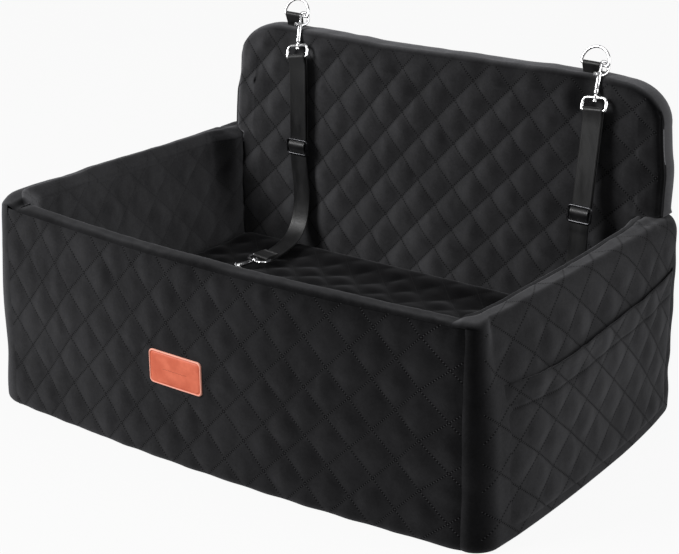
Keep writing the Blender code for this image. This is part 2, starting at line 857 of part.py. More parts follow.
def make_pocket(name, mirror):
    """A quilted side pocket, closed along its sides and bottom and open at its mouth."""
    outer_grid, inner_grid = [], []
    for column in range(pocket_columns + 1):
        share = column / pocket_columns
        y = mix(pocket_front, pocket_rear, share)
        mouth = follow(pocket_mouth, y)
        levels = [mix(pocket_bottom, mouth - hem_height, row / pocket_rows) for row in range(pocket_rows + 1)]
        levels.append(mouth)
        outer, inner = [], []
        for row, level in enumerate(levels):
            rise = level / side_height(y)
            open_share = (level - pocket_bottom) / (mouth - pocket_bottom)
            bulge = pocket_bulge * math.sin(half_turn * share) ** 0.6 * open_share ** 1.5
            base = side_outer(y, rise) + seam_gap + bulge
            inside = 0 < column < pocket_columns and 0 < row < pocket_rows
            lift = quilt_height * 0.8 if inside and (column + row) % 2 else 0
            outer.append(Vector(((base + pocket_thickness + lift) * mirror, y, level)))
            inner.append(Vector((base * mirror, y, level)))
        outer_grid.append(outer)
        inner_grid.append(inner)
    return make_slab(name, outer_grid, inner_grid, velvet(name + " velvet"))


def make_label():
    """A bare patch with rounded corners, bent to the front wall."""
    columns, rows = 6, 4
    outer_grid, inner_grid = [], []
    for column in range(columns + 1):
        outer, inner = [], []
        for row in range(rows + 1):
            across = (column / columns - half_share) * label_width
            up = (row / rows - half_share) * label_height
            if column in (0, columns) and row in (0, rows):
                across -= math.copysign(label_corner * 0.3, across)
                up -= math.copysign(label_corner * 0.3, up)
            elif column in (1, columns - 1) and row in (0, rows):
                across = math.copysign(label_width / 2 - label_corner, across)
            elif column in (0, columns) and row in (1, rows - 1):
                up = math.copysign(label_height / 2 - label_corner, up)
            x, z = label_place + across, label_level + up
            depth = front_outer(x, z / front_height(x)) - seam_gap
            outer.append(Vector((x, depth - label_thickness, z)))
            inner.append(Vector((x, depth, z)))
        outer_grid.append(outer)
        inner_grid.append(inner)
    leather = make_material("label leather", (0.75, 0.16, 0.08), 0.45, 0)
    return make_slab("front_label", outer_grid, inner_grid, leather)


tab_end_room, tab_hook_room = 0.0028, 0.0100
tab_left, tab_right = tab_end_room - ring_half_width, ring_half_width - tab_hook_room
tab_thickness = 0.0012
tab_base_shift = 0.0030
tab_base_depth = ring_bar_depth + tab_base_shift


def make_ring_tab(name, centre, rise):
    """Webbing folded over the ring's bar, its two ends sewn into the top of the back."""
    bend = ring_wire_radius + touch_gap + tab_thickness / 2
    half_gap = tab_thickness / 2 + touch_gap / 2
    foot = backrest_height + touch_gap
    bar = Vector((0, ring_bar_depth, backrest_height + rise))
    lift = (bar.z - foot) / 2
    path = [Vector((0, tab_base_depth - half_gap, foot)),
            Vector((0, tab_base_depth - half_gap * 2, foot + lift * 0.6))]
    for step in range(9):
        angle = half_turn + math.radians(25) - step / 8 * (half_turn + math.radians(40))
        path.append(bar + Vector((0, math.cos(angle), math.sin(angle))) * bend)
    path.append(Vector((0, tab_base_depth + half_gap * 1.5, foot + lift * 0.6)))
    path.append(Vector((0, tab_base_depth + half_gap, foot)))
    middle = centre + (tab_left + tab_right) / 2
    path = [point + Vector((middle, 0, 0)) for point in path]
    ways = [Vector((1, 0, 0))] * len(path)
    return make_ribbon(name, path, ways, tab_right - tab_left, tab_thickness, webbing(name + " webbing"))


def make_ring(name, centre, rise):
    """A D-ring: a straight bar and a round bow, leaning back on its bar."""
    middle = Matrix.Translation((centre, ring_bar_depth, backrest_height + rise))
    frame = make_empty(name + "_frame", middle @ Matrix.Rotation(-ring_lean, 4, "X"))
    bend = ring_corner
    reach = ring_half_width - bend
    path = []
    for step in range(15):
        angle = step / 14 * half_turn
        path.append(Vector((math.cos(angle), 0, math.sin(angle))) * ring_half_width + Vector((0, 0, bend)))
    for step in range(1, 3):
        angle = half_turn + step / 3 * quarter_turn
        path.append(Vector((math.cos(angle) * bend - reach, 0, bend + math.sin(angle) * bend)))
    path += [Vector((-reach, 0, 0)), Vector((reach, 0, 0))]
    for step in range(1, 3):
        angle = -quarter_turn + step / 3 * quarter_turn
        path.append(Vector((math.cos(angle) * bend + reach, 0, bend + math.sin(angle) * bend)))
    return make_tube(name, path, ring_wire_radius, 8, chrome(name + " chrome"), frame, True)


# The snap hook, in its own frame: X from the bolt to the bow of the hook, Z up its length.
# The origin is where the ring's wire passes through.
bolt_axis = -0.0051
bolt_radius = 0.0014
bolt_top, bolt_bottom = 0.0013, -0.0170
bolt_room = 0.0004
bolt_edge = 0.0004
bore_radius = bolt_radius + bolt_room
bore_overrun = 0.0010
barrel_radius = 0.0031
barrel_edge = 0.0004
barrel_top, barrel_bottom = -0.0090, -0.0330
bore_bottom = -0.0270
neck_radius = 0.0017
neck_top, neck_bottom = -0.0352, -0.0422
head_radius, head_bottom = 0.0029, -0.0442
head_edge = 0.0007
bow_radius = 0.00175
bow_reach = 0.0056
bow_shares = [(-0.804, -2.679), (-0.357, -2.179), (0.393, -1.75), (0.893, -1.143), (1, -0.5), (0.893, 0.143),
              (0.536, 0.625), (0, 0.804), (-0.536, 0.75), (-0.857, 0.536)]
stud_height = -0.0120
stud_travel = 0.0080
stud_stem_radius = 0.0010
stud_room, stud_length = 0.0013, 0.0028
stud_radius, stud_edge = 0.0026, 0.0005
stud_start = barrel_radius + stud_room
stud_end = stud_start + stud_length
eye_bar = (neck_top + neck_bottom) / 2
eye_wire_radius = 0.0021
eye_side_room = 0.0013
eye_half_width = webbing_width / 2 + eye_side_room + eye_wire_radius
eye_boss_radius, eye_boss_half = 0.0037, 0.0022
eye_bore_overrun = 0.0018
eye_top_corner, eye_low_corner = 0.0066, 0.0024


def make_hook(name, frame):
    """The hook's body: a barrel for the bolt, a bow round to the bolt's tip, and a riveted neck."""
    metal = chrome(name + " chrome")
    profile = [(0, head_bottom), (head_radius * 0.7, head_bottom), (head_radius, head_bottom + head_edge),
               (head_radius, neck_bottom), (neck_radius, neck_bottom), (neck_radius, neck_top),
               (barrel_radius * 0.85, neck_top), (barrel_radius, barrel_bottom), (barrel_radius, barrel_top),
               (barrel_radius - barrel_edge, barrel_top + barrel_edge), (0, barrel_top + barrel_edge)]
    body = make_turned(name, profile, 12, metal, frame, (bolt_axis, 0))
    path = smooth_path([(bow_reach * out, 0, bow_reach * up) for out, up in bow_shares], 2)
    path.append(Vector((bolt_axis, 0, bolt_top + touch_gap)))
    radii = [bow_radius] * len(path)
    radii[-1] = bow_radius * 0.9
    bow = make_tube(name + "_bow_tool", path, radii, 8, metal, frame)
    bore_top = barrel_top + bore_overrun
    bore_profile = [(0, bore_bottom), (bore_radius, bore_bottom), (bore_radius, bore_top), (0, bore_top)]
    bore = make_turned(name + "_bore_cutter", bore_profile, 12, metal, frame, (bolt_axis, 0))
    slot_half = stud_stem_radius + touch_gap
    slot_low = (bolt_axis - barrel_radius * 1.2, -slot_half, stud_height - stud_travel)
    slot_high = (bolt_axis, slot_half, stud_height + slot_half)
    slot = make_box(name + "_slot_cutter", slot_low, slot_high, metal, frame)
    change(body, bow, "UNION")
    change(body, bore, "DIFFERENCE")
    change(body, slot, "DIFFERENCE")
    return body


def make_bolt(name, frame):
    """The sprung bolt with its thumb stud."""
    metal = chrome(name + " chrome")
    rod_profile = [(0, bolt_bottom), (bolt_radius, bolt_bottom), (bolt_radius, bolt_top - bolt_edge),
                   (bolt_radius * 0.75, bolt_top), (0, bolt_top)]
    rod = make_turned(name, rod_profile, 12, metal, frame, (bolt_axis, 0))
    stem_reaches = (bolt_radius * 0.3, stud_start + stud_edge)
    knob_reaches = (stud_start, stud_end - stud_edge, stud_end)
    stem = [Vector((bolt_axis - reach, 0, stud_height)) for reach in stem_reaches]
    knob = [Vector((bolt_axis - reach, 0, stud_height)) for reach in knob_reaches]
    knob_radii = [stud_radius, stud_radius, stud_radius * 0.75]
    change(rod, make_tube(name + "_stem_tool", stem, stud_stem_radius, 8, metal, frame), "UNION")
    change(rod, make_tube(name + "_knob_tool", knob, knob_radii, 12, metal, frame), "UNION")
    return rod


def make_eye(name, frame):
    """The swivel eye: a flat-sided loop with a boss that turns on the hook's neck."""
    metal = chrome(name + " chrome")
    low = -eye_reach
    path = []
    for across, up, start in ((1, 1, 0), (-1, 1, 1), (-1, -1, 2), (1, -1, 3)):
        bend, steps = (eye_top_corner, 3) if up > 0 else (eye_low_corner, 2)
        corner = Vector((across * (eye_half_width - bend), 0, (eye_bar if up > 0 else low) - up * bend))
        for step in range(steps + 1):
            angle = (start + step / steps) * quarter_turn
            path.append(corner + Vector((math.cos(angle), 0, math.sin(angle))) * bend)
    loop = make_tube(name, path, eye_wire_radius, 8, metal, frame, True)
    boss_profile = [(0, eye_bar - eye_boss_half), (eye_boss_radius, eye_bar - eye_boss_half),
                    (eye_boss_radius, eye_bar + eye_boss_half), (0, eye_bar + eye_boss_half)]
    boss = make_turned(name + "_boss_tool", boss_profile, 14, metal, frame)
    bore_half = eye_boss_half + eye_bore_overrun
    bore_low, bore_high, bore_wide = eye_bar - bore_half, eye_bar + bore_half, neck_radius + touch_gap
    bore_profile = [(0, bore_low), (bore_wide, bore_low), (bore_wide, bore_high), (0, bore_high)]
    bore = make_turned(name + "_bore_cutter", bore_profile, 12, metal, frame)
    change(loop, boss, "UNION")
    change(loop, bore, "DIFFERENCE")
    return loop


slider_rail_radius, slider_bar_radius = 0.0014, 0.0008
slider_side_room, slider_half_height = 0.0011, 0.0095
slider_half_width = webbing_width / 2 + slider_side_room + slider_rail_radius
slider_corner = 0.0022
half_layer = slider_bar_radius + touch_gap + webbing_thickness / 2


def make_slider(name, frame):
    """A three-bar slide: end bars in front of the webbing, the middle bar between its two layers."""
    plastic = make_material(name + " enamel", (0.03, 0.03, 0.03), 0.3, 0)
    front = -half_layer - webbing_thickness / 2 - touch_gap - slider_rail_radius
    path = []
    corner = slider_corner
    for across, up, start in ((1, 1, 0), (-1, 1, 1), (-1, -1, 2), (1, -1, 3)):
        centre = Vector((across * (slider_half_width - corner), front, up * (slider_half_height - corner)))
        for step in range(3):
            angle = (start + step / 2) * quarter_turn
            path.append(centre + Vector((math.cos(angle), 0, math.sin(angle))) * corner)
    body = make_tube(name, path, slider_rail_radius, 8, plastic, frame, True)
    inward = slider_bar_radius
    controls = [(-slider_half_width, front, 0), (-slider_half_width, front * half_share, 0),
                (-slider_half_width + inward, 0, 0), (slider_half_width - inward, 0, 0),
                (slider_half_width, front * half_share, 0), (slider_half_width, front, 0)]
    middle = make_tube(name + "_bar_tool", [Vector(point) for point in controls], slider_bar_radius, 8,
                       plastic, frame)
    change(body, middle, "UNION")
    return body


def hook_matrix(place, rise, roll):
    """Where an upper hook hangs: on the ring's bar, tilted forward and turned to clear the ring's leg."""
    return (Matrix.Translation((place + hook_place, ring_bar_depth, backrest_height + rise))
            @ Matrix.Rotation(roll, 4, "Y") @ Matrix.Rotation(-hook_tilt, 4, "X")
            @ Matrix.Rotation(hook_turn, 4, "Z"))


def eye_matrix(place, rise, roll):
    """The eye shares the hook's long axis but keeps its loop square to the front."""
    axis_point = hook_matrix(place, rise, roll) @ Vector((bolt_axis, 0, 0))
    return (Matrix.Translation(axis_point) @ Matrix.Rotation(roll, 4, "Y")
            @ Matrix.Rotation(-hook_tilt, 4, "X"))


# Each tether's chosen route, from its slide down the back and forward over the cushion
left_drop = [(-0.1925, 0.1750, 0.2570), (-0.1915, 0.1757, 0.2300), (-0.1880, 0.1755, 0.2000),
             (-0.1870, 0.1730, 0.1750), (-0.1868, 0.1660, 0.1540), (-0.1865, 0.1520, 0.1395),
             (-0.1855, 0.1300, 0.1325), (-0.1840, 0.1080, 0.1303)]
right_drop = [(0.2390, 0.1560, 0.2570), (0.2385, 0.1540, 0.2300), (0.2380, 0.1520, 0.2000),
              (0.2375, 0.1490, 0.1750), (0.2370, 0.1430, 0.1540), (0.2360, 0.1320, 0.1395),
              (0.2350, 0.1160, 0.1325), (0.2340, 0.1000, 0.1303)]
left_end_place, right_end_place = (-0.1820, 0.0840), (0.2330, 0.0780)
rest_clearance = 0.0010
lower_eye_rise = 0.0042
lower_end_height = cushion_top + cushion_quilt_height + rest_clearance + lower_eye_rise
lower_turn = math.radians(-8.5)
tail_drop, narrow_drop = 0.0110, 0.0100
lower_lead, fold_length = 0.0060, 0.0170


def lower_matrix(end_point, turn):
    """The lower hook lies flat on the cushion, pointing forward; its eye's bar is at the end point."""
    flat = Matrix(((1, 0, 0, 0), (0, 0, -1, 0), (0, 1, 0, 0), (0, 0, 0, 1)))
    return (Matrix.Translation(end_point) @ Matrix.Rotation(turn, 4, "Z") @ flat
            @ Matrix.Translation((0, 0, eye_reach)))


def strap_lines(upper, drop):
    """The upper eye's bar, the slide's middle bar, the line between them and the way to the back."""
    bar = upper @ Vector((0, 0, -eye_reach))
    line = (Vector(drop[0]) - bar).normalized()
    back = line.cross(Vector((1, 0, 0))).normalized()
    if back.y < 0:
        back = -back
    slide = Vector(drop[0]) + back * half_layer
    return bar, slide, (slide - bar).normalized(), back


def make_strap(name, upper, lower, drop):
    """One webbing strap: doubled through the upper eye down to the slide, then single to the lower eye."""
    bend = eye_wire_radius + touch_gap + webbing_thickness / 2
    path, ways = [], []
    top_way = (upper.to_3x3() @ Vector((1, 0, 0))).normalized()
    low_way = (lower.to_3x3() @ Vector((1, 0, 0))).normalized()
    level_way = Vector((1, 0, 0))
    bar, slide, line, back = strap_lines(upper, drop)
    tail = slide + line * tail_drop + back * half_layer
    down = (line - top_way * line.dot(top_way)).normalized()
    behind = (back - top_way * back.dot(top_way) - down * back.dot(down)).normalized()
    narrow = bar + down * narrow_drop
    for step in range(5):
        share = step / 4
        path.append(tail.lerp(narrow + behind * half_layer, share))
        ways.append(level_way.lerp(top_way, blend(share * 2 - 1)))
    for step in range(9):
        angle = math.radians(-15) + step / 8 * math.radians(210)
        path.append(bar + (behind * math.cos(angle) - down * math.sin(angle)) * bend)
        ways.append(top_way)
    front = [narrow - behind * half_layer] + [Vector(point) for point in drop]
    low_bar = lower @ Vector((0, 0, -eye_reach))
    ahead = (lower.to_3x3() @ Vector((0, 0, 1))).normalized()
    up = Vector((0, 0, 1))
    under = [low_bar - ahead * lower_lead - up * bend * 0.98]
    curve = smooth_path(front + under, 5)
    total = len(curve) - 1
    for index, point in enumerate(curve):
        share = index / total
        path.append(point)
        ways.append(top_way.lerp(level_way, blend(share * 6)) if share < 0.5
                    else level_way.lerp(low_way, blend(share * 2 - 1)))
    for step in range(9):
        angle = step / 8 * half_turn
        path.append(low_bar + (ahead * math.sin(angle) - up * math.cos(angle)) * bend)
        ways.append(low_way)
    for reach in (lower_lead, lower_lead * 2, fold_length):
        path.append(low_bar - ahead * reach + up * bend)
        ways.append(low_way)
    return make_ribbon(name, path, ways, webbing_width, webbing_thickness, webbing(name + " webbing"))


def make_tether(side, hang, drop, end_point, turn):
    hook_frame = make_empty(side + "_upper_hook_frame", hook_matrix(*hang))
    make_hook(side + "_upper_hook", hook_frame)
    move_origin(make_bolt(side + "_upper_bolt", hook_frame), (bolt_axis, 0, 0))
    eye_frame = make_empty(side + "_upper_eye_frame", eye_matrix(*hang))
    make_eye(side + "_upper_eye", eye_frame)
    lower = lower_matrix(end_point, turn)
    make_strap(side + "_strap", eye_frame.matrix_world, lower, drop)
    bar, slide, line, back = strap_lines(eye_frame.matrix_world, drop)
    back = (back - line * back.dot(line)).normalized()
    across = line.cross(back).normalized()
    if across.x < 0:
        across = -across
    axes = Matrix((across, back, -line)).transposed().to_4x4()
    slide_frame = make_empty(side + "_slider_frame", Matrix.Translation(slide) @ axes)
    make_slider(side + "_slider", slide_frame)
    lower_eye = make_eye(side + "_lower_eye", make_empty(side + "_lower_eye_frame", lower))
    move_origin(lower_eye, (0, 0, -eye_reach))
    lower_frame = make_empty(side + "_lower_hook_frame", lower @ Matrix.Translation((-bolt_axis, 0, 0)))
    move_origin(make_hook(side + "_lower_hook", lower_frame), (bolt_axis, 0, 0))
    move_origin(make_bolt(side + "_lower_bolt", lower_frame), (bolt_axis, 0, 0))


make_walls()
make_back()
make_bottom()
make_cushion_set()
make_pocket("left_side_pocket", -1)
make_pocket("right_side_pocket", 1)
make_label()
left_hang = (left_ring_place, left_ring_rise, left_hook_roll)
right_hang = (right_ring_place, right_ring_rise, right_hook_roll)
make_ring_tab("left_ring_tab", left_ring_place, left_ring_rise)
make_ring_tab("right_ring_tab", right_ring_place, right_ring_rise)
make_ring("left_d_ring", left_ring_place, left_ring_rise)
make_ring("right_d_ring", right_ring_place, right_ring_rise)
make_tether("left", left_hang, left_drop, Vector((*left_end_place, lower_end_height)), lower_turn)
make_tether("right", right_hang, right_drop, Vector((*right_end_place, lower_end_height)), lower_turn)
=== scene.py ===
"""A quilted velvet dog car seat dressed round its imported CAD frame: padding, cushion, pockets, webbing and metal."""
import math

import bmesh
import bpy
import numpy as np
from mathutils import Matrix, Vector


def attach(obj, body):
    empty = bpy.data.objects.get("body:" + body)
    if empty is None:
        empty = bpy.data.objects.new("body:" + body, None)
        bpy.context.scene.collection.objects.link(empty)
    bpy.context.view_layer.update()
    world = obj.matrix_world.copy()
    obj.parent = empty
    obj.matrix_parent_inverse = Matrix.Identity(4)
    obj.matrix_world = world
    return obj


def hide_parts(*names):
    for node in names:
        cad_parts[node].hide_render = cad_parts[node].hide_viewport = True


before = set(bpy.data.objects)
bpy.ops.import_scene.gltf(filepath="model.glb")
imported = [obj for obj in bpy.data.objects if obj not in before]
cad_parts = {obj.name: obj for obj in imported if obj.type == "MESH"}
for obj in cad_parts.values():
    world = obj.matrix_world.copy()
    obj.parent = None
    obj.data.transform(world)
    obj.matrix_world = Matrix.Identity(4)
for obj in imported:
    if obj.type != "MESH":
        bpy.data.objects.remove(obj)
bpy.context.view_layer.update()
scene = bpy.context.scene
scene.view_settings.view_transform = "Standard"


# Camera, fitted to the photograph's 679 x 554 pixels

azimuth, elevation = math.radians(36.4054), math.radians(20.5567)
target, distance = Vector((0.0026711, 0, 0.1726974)), 2.516224
focal_pixels, photo_pixels, sensor = 2105.82, 679, 36
back_way = Vector((math.sin(azimuth) * math.cos(elevation), -math.cos(azimuth) * math.cos(elevation),
                   math.sin(elevation)))
camera_data = bpy.data.cameras.new("camera")
camera_data.sensor_width = sensor
camera_data.lens = focal_pixels / photo_pixels * sensor
camera = bpy.data.objects.new("camera", camera_data)
scene.collection.objects.link(camera)
camera.rotation_mode = "QUATERNION"
camera.location = target + back_way * distance
camera.rotation_quaternion = (-back_way).to_track_quat("-Z", "Y")
scene.camera = camera


# The CAD's sizes and shapes, in metres, repeated here because the script reads no other file

front_half_width, front_end_depth, rear_depth = 0.3245, 0.2175, 0.2190
front_wall_height, side_wall_height, backrest_height = 0.2580, 0.2560, 0.4090
seam_gap, touch_gap = 0.0004, 0.0003
front_bow, wall_belly, front_lean, front_sag = 0.0160, 0.0045, 0.0040, 0.0025
wall_thickness, top_band_width, seam_drop = 0.0420, 0.0250, 0.0040
corner_radius, rear_corner_radius, inner_half_width = 0.0265, 0.0185, 0.3075
backrest_front, backrest_corner_radius, back_notch = 0.1875, 0.0520, side_wall_height + 0.0015
cushion_edge_height, cushion_top, cushion_crown, cushion_rear_inset = 0.1020, 0.1235, 0.0040, 0.0075
cushion_depth, cushion_pitch = 0.365, 0.050
side_plan = [(-0.191, 0.3503), (-0.147, 0.3518), (-0.060, 0.3505), (0.040, 0.3460), (0.147, 0.3400), (0.205, 0.3360)]
inner_plan = [(-0.180, 0.3078), (0.000, 0.3055), (0.120, 0.2985), (0.180, 0.2942), (0.220, 0.2938)]
pocket_front, pocket_rear, pocket_bottom = -0.1860, 0.1980, 0.0120
pocket_mouth = [(-0.186, 0.1830), (-0.090, 0.1780), (0.000, 0.1825), (0.060, 0.1870), (0.128, 0.1910), (0.198, 0.2015)]
pocket_bulge = 0.0068
label_centre, label_size, off_stitches = (-0.0505, 0.1185), (0.0778, 0.0416), 0.1234

# Where the photograph's stitches cross, panel by panel: (number of the crossing, place)
front_crossings = [(-6, -0.3140), (-5, -0.2660), (-4, -0.2207), (-3, -0.1663), (-2, -0.1163), (-1, -0.0641),
                   (0, -0.0098), (1, 0.0446), (2, 0.1011), (3, 0.1576), (4, 0.2163), (5, 0.2740), (5.5, 0.3100)]
side_crossings = [(-0.5, -0.1550), (0, -0.1190), (0.5, -0.0870), (1, -0.0520), (1.5, -0.0190), (2, 0.0140),
                  (2.5, 0.0465), (3, 0.0785), (3.5, 0.1100), (4, 0.1370), (4.5, 0.1620), (5, 0.1850)]
back_crossings = [(-5, -0.2610), (-4, -0.2130), (-3, -0.1630), (-2, -0.1126), (-1, -0.0637), (0, -0.0137),
                  (1, 0.0385), (2, 0.0925), (3, 0.1450), (4, 0.1983), (5, 0.2520), (5.5, 0.2830), (6, 0.3120)]
lattice_step = 1 / 20
# The height of one row of crossings and the rows' pitch, panel by panel; the insides have even columns too
front_row, front_pitch = 0.1748, 0.0583
side_row, side_pitch, pocket_row = 0.1990, 0.0552, 0.1410
back_row, back_pitch = 0.3557, 0.0560
inside_row, inside_pitch, inside_column, inside_width = 0.2017, 0.0565, 0.0867, 0.0545

# The padding's own form over the solids: the walls, by side where it differs (-1 left, 1 right), then the back
foot_reach, foot_spread, panel_foot, under_level = 0.0042, 0.0050, 0.0005, 0.0004
roll_height, inner_foot, rear_strip = 0.0160, 0.0950, 0.0040
sewn_share, shoulder_share, band_rear, under_rear = 0.78, 0.84, 0.2050, 0.2180
front_room_end, between_walls, pocket_top = -0.1720, 0.2934, 0.2050
top_rise = {-1: [(-0.2175, 0.0040), (-0.191, 0.0100), (0.000, 0.0075), (0.130, 0.0070), (0.205, 0.0085)],
            1: [(-0.2175, 0.0005), (-0.120, 0.0020), (0.205, 0.0020)]}
top_inset = {-1: [(-0.191, 0.0060), (0.000, 0.0100), (0.205, 0.0060)],
             1: [(-0.191, 0.0145), (0.000, 0.0105), (0.100, 0.0040), (0.205, -0.0050)]}
side_swell = {-1: 0.0030, 1: 0.0}
roll_share, top_slope, top_lean = {-1: 0.60, 1: 0.25}, {-1: 0.0110, 1: 0.0}, {-1: 0.0130, 1: 0.0045}
inner_drop, inner_puff = {-1: 0.0040, 1: 0.0090}, {-1: 0.0008, 1: 0.0014}
back_left = [(0.200, 0.3105), (0.2575, 0.3105), (0.301, 0.3075), (0.342, 0.3025), (0.362, 0.3005), (0.409, 0.2990)]
back_right = [(0.200, 0.3300), (0.2575, 0.3270), (0.308, 0.3285), (0.334, 0.3262), (0.359, 0.3245), (0.409, 0.3225)]
back_rise = [(-0.300, -0.0020), (-0.184, -0.0013), (-0.113, -0.0013), (-0.078, -0.0025), (-0.007, 0.0), (0.064, 0.0025),
             (0.135, 0.0040), (0.171, 0.0062), (0.242, 0.0062), (0.277, 0.0050), (0.320, 0.0040)]
border_width = 0.0100
hem_drop, hem_pitch, hem_reach = 0.0295, 0.0400, 0.0500
hook_hollows, behind_back = (-0.2135, 0.2250), 0.2880


def blend(share):
    share = np.clip(share, 0, 1)
    return share * share * (3 - 2 * share)


def mix(start, end, share):
    return start + (end - start) * share


def grid(first, second):
    """Two coordinate grids, for a grid whose rows follow the first values and whose columns follow the second."""
    return np.meshgrid(first, second, indexing="ij")


def stacked(*values):
    """One grid of points from grids or single numbers for their coordinates."""
    return np.stack(np.broadcast_arrays(*values), -1)


def gauss(distance, reach):
    return np.exp(-(distance / reach) ** 2)


def round_fall(share):
    """How far a quarter circle has fallen, where its share runs from 0 to 1."""
    return 1 - np.sqrt(np.maximum(1 - share ** 2, 0))


def follow(rows, place):
    """Reads a smooth curve through (place, value) pairs."""
    xs, ys = np.array(rows, float).T
    place = np.clip(np.asarray(place, float), xs[0], xs[-1])
    at = np.clip(np.searchsorted(xs, place) - 1, 0, len(xs) - 2)
    before, after = np.maximum(at - 1, 0), np.minimum(at + 2, len(xs) - 1)
    span = xs[at + 1] - xs[at]
    slope_in = (ys[at + 1] - ys[before]) / (xs[at + 1] - xs[before]) * span
    slope_out = (ys[after] - ys[at]) / (xs[after] - xs[at]) * span
    share = (place - xs[at]) / span
    square, cube = share ** 2, share ** 3
    return (ys[at] * (2 * cube - 3 * square + 1) + slope_in * (cube - 2 * square + share)
            + ys[at + 1] * (3 * square - 2 * cube) + slope_out * (cube - square))


def extended(rows, place):
    """Reads (number, place) pairs backwards, running on in a straight line past the ends."""
    numbers, places = np.array(rows, float).T
    low = (numbers[1] - numbers[0]) / (places[1] - places[0])
    high = (numbers[-1] - numbers[-2]) / (places[-1] - places[-2])
    inside = np.interp(place, places, numbers)
    return inside + np.minimum(place - places[0], 0) * low + np.maximum(place - places[-1], 0) * high


def arch(x):
    """1 in the front wall's middle and 0 at its ends."""
    return np.cos(x / front_half_width * math.pi / 2)


def front_height(x):
    return front_wall_height - front_sag * arch(x)


def front_outer(x, rise):
    return -(front_end_depth + front_bow * arch(x) + front_lean * rise + wall_belly * np.sin(math.pi * rise))


def front_inner(x, rise):
    low = wall_thickness - front_end_depth - front_bow * arch(x)
    high = front_outer(x, 1) + top_band_width
    return mix(low, high, blend((rise - 0.5) / 0.5))


def side_height(y):
    return mix(front_wall_height, side_wall_height, blend((y + front_end_depth) / (front_end_depth - 0.130)))


def side_outer(y, rise, mirror=1):
    swell = wall_belly * np.sin(math.pi * rise) + side_swell[mirror]
    return follow(side_plan, y) + swell - follow(top_inset[mirror], y) * rise ** 2


def wall_top(y, mirror):
    return side_height(y) + follow(top_rise[mirror], y)


def roll_drop(travel):
    """How far below the top a side wall's outer face starts to roll over."""
    return mix(seam_drop, roll_height, blend(travel / corner_arc))


def side_inner(y, rise, mirror=1):
    fade = (1 - blend((y - 0.140) / 0.035)) * blend((y + 0.205) / 0.040)
    lean = top_lean[mirror] * fade * blend((rise - 0.5) / 0.5)
    return np.where(y < front_room_end, inner_half_width + seam_gap, follow(inner_plan, y)) + lean


corner_arc = corner_radius * math.pi / 2
along_start, along_end = -front_end_depth + corner_radius, 0.2000
rear_arc = rear_corner_radius * math.pi / 2
rear_end = corner_arc + (along_end - along_start) + rear_arc


def side_path(travel, rise, mirror=1):
    """Outer plan point of a side wall: travel is 0 at the front seam and runs round the corner to the rear."""
    share = np.clip(travel / corner_arc, 0, 1)
    angle = share * math.pi / 2
    ease = blend(share)
    swell = wall_belly * np.sin(math.pi * rise) + front_lean * rise * (1 - ease) + side_swell[mirror] * ease
    swell = swell - follow(top_inset[mirror], along_start) * rise ** 2 * ease
    reach = corner_radius + swell
    edge = front_half_width + seam_gap
    stretch = mix(-seam_gap - 0.0003, follow(side_plan, along_start) - edge - corner_radius, ease)
    x = edge + stretch + np.sin(angle) * reach
    y = along_start - np.cos(angle) * reach
    side_y = np.clip(travel - corner_arc + along_start, along_start, along_end)
    x = np.where(travel > corner_arc, side_outer(side_y, rise, mirror), x)
    y = np.where(travel > corner_arc, side_y, y)
    past = travel - corner_arc - (along_end - along_start)
    turned = np.clip(past / rear_arc, 0, 1) * math.pi / 2
    rear_x = side_outer(along_end, rise, mirror) - rear_corner_radius * (1 - np.cos(turned))
    rear_x = rear_x - np.maximum(past - rear_arc, 0)
    x = np.where(past > 0, rear_x, x)
    y = np.where(past > 0, along_end + rear_corner_radius * np.sin(turned), y)
    return x, y


def side_number(travel):
    """The stitch number along a side wall's outer face."""
    return extended(side_crossings, travel - corner_arc + along_start)


# Mesh making

noise_values = np.random.default_rng(11).random((32, 32, 32)) * 2 - 1


def waves(points, size, shift=0):
    """Smooth noise from -1 to 1 with bumps of about the given size."""
    at = points / size + np.array([shift * 3.7, shift * 5.3, shift * 7.9])
    base = np.floor(at).astype(int)
    part = at - base
    part = part * part * (3 - 2 * part)
    total = 0
    for corner in np.ndindex(2, 2, 2):
        weight = np.prod(np.where(corner, part, 1 - part), axis=-1)
        x, y, z = np.moveaxis((base + corner) % len(noise_values), -1, 0)
        total = total + weight * noise_values[x, y, z]
    return total


def normals(points):
    """Unit normals of a grid of points."""
    across = np.gradient(points, axis=0)
    up = np.gradient(points, axis=1)
    way = np.cross(across, up)
    return way / np.maximum(np.linalg.norm(way, axis=-1, keepdims=True), 1e-12)


def no_hems(count):
    """Hem coordinates that lie away from every hem."""
    return np.tile([0, 0.5], (count, 1))


def grid_part(points, stitch, slot, flip=False, hems=None):
    """A grid as (points, faces, stitch coordinates, material slots, hem coordinates), split along its stitch lines."""
    number = np.arange(points[..., 0].size).reshape(points.shape[:2])
    corners = [corner.ravel() for corner in (number[:-1, :-1], number[1:, :-1], number[1:, 1:], number[:-1, 1:])]
    flat = stitch.reshape(-1, 2)

    def on_line(one, two, which):
        start, end = flat[one, which], flat[two, which]
        return (abs(start - np.round(start)) < 0.012) & (abs(end - np.round(start)) < 0.012)

    rising = on_line(corners[0], corners[2], 1)
    falling = on_line(corners[1], corners[3], 0) & ~rising
    chosen = np.broadcast_to(slot, number[1:, 1:].shape).ravel()
    faces, slots = [], []
    for a, b, c, d, up, down, which in zip(*(row.tolist() for row in (*corners, rising, falling, chosen))):
        pieces = [(a, b, c), (a, c, d)] if up else [(a, b, d), (b, c, d)] if down else [(a, b, c, d)]
        faces += pieces
        slots += [which] * len(pieces)
    if flip:
        faces = [face[::-1] for face in faces]
    return points.reshape(-1, 3), faces, flat, slots, no_hems(len(flat)) if hems is None else hems.reshape(-1, 2)


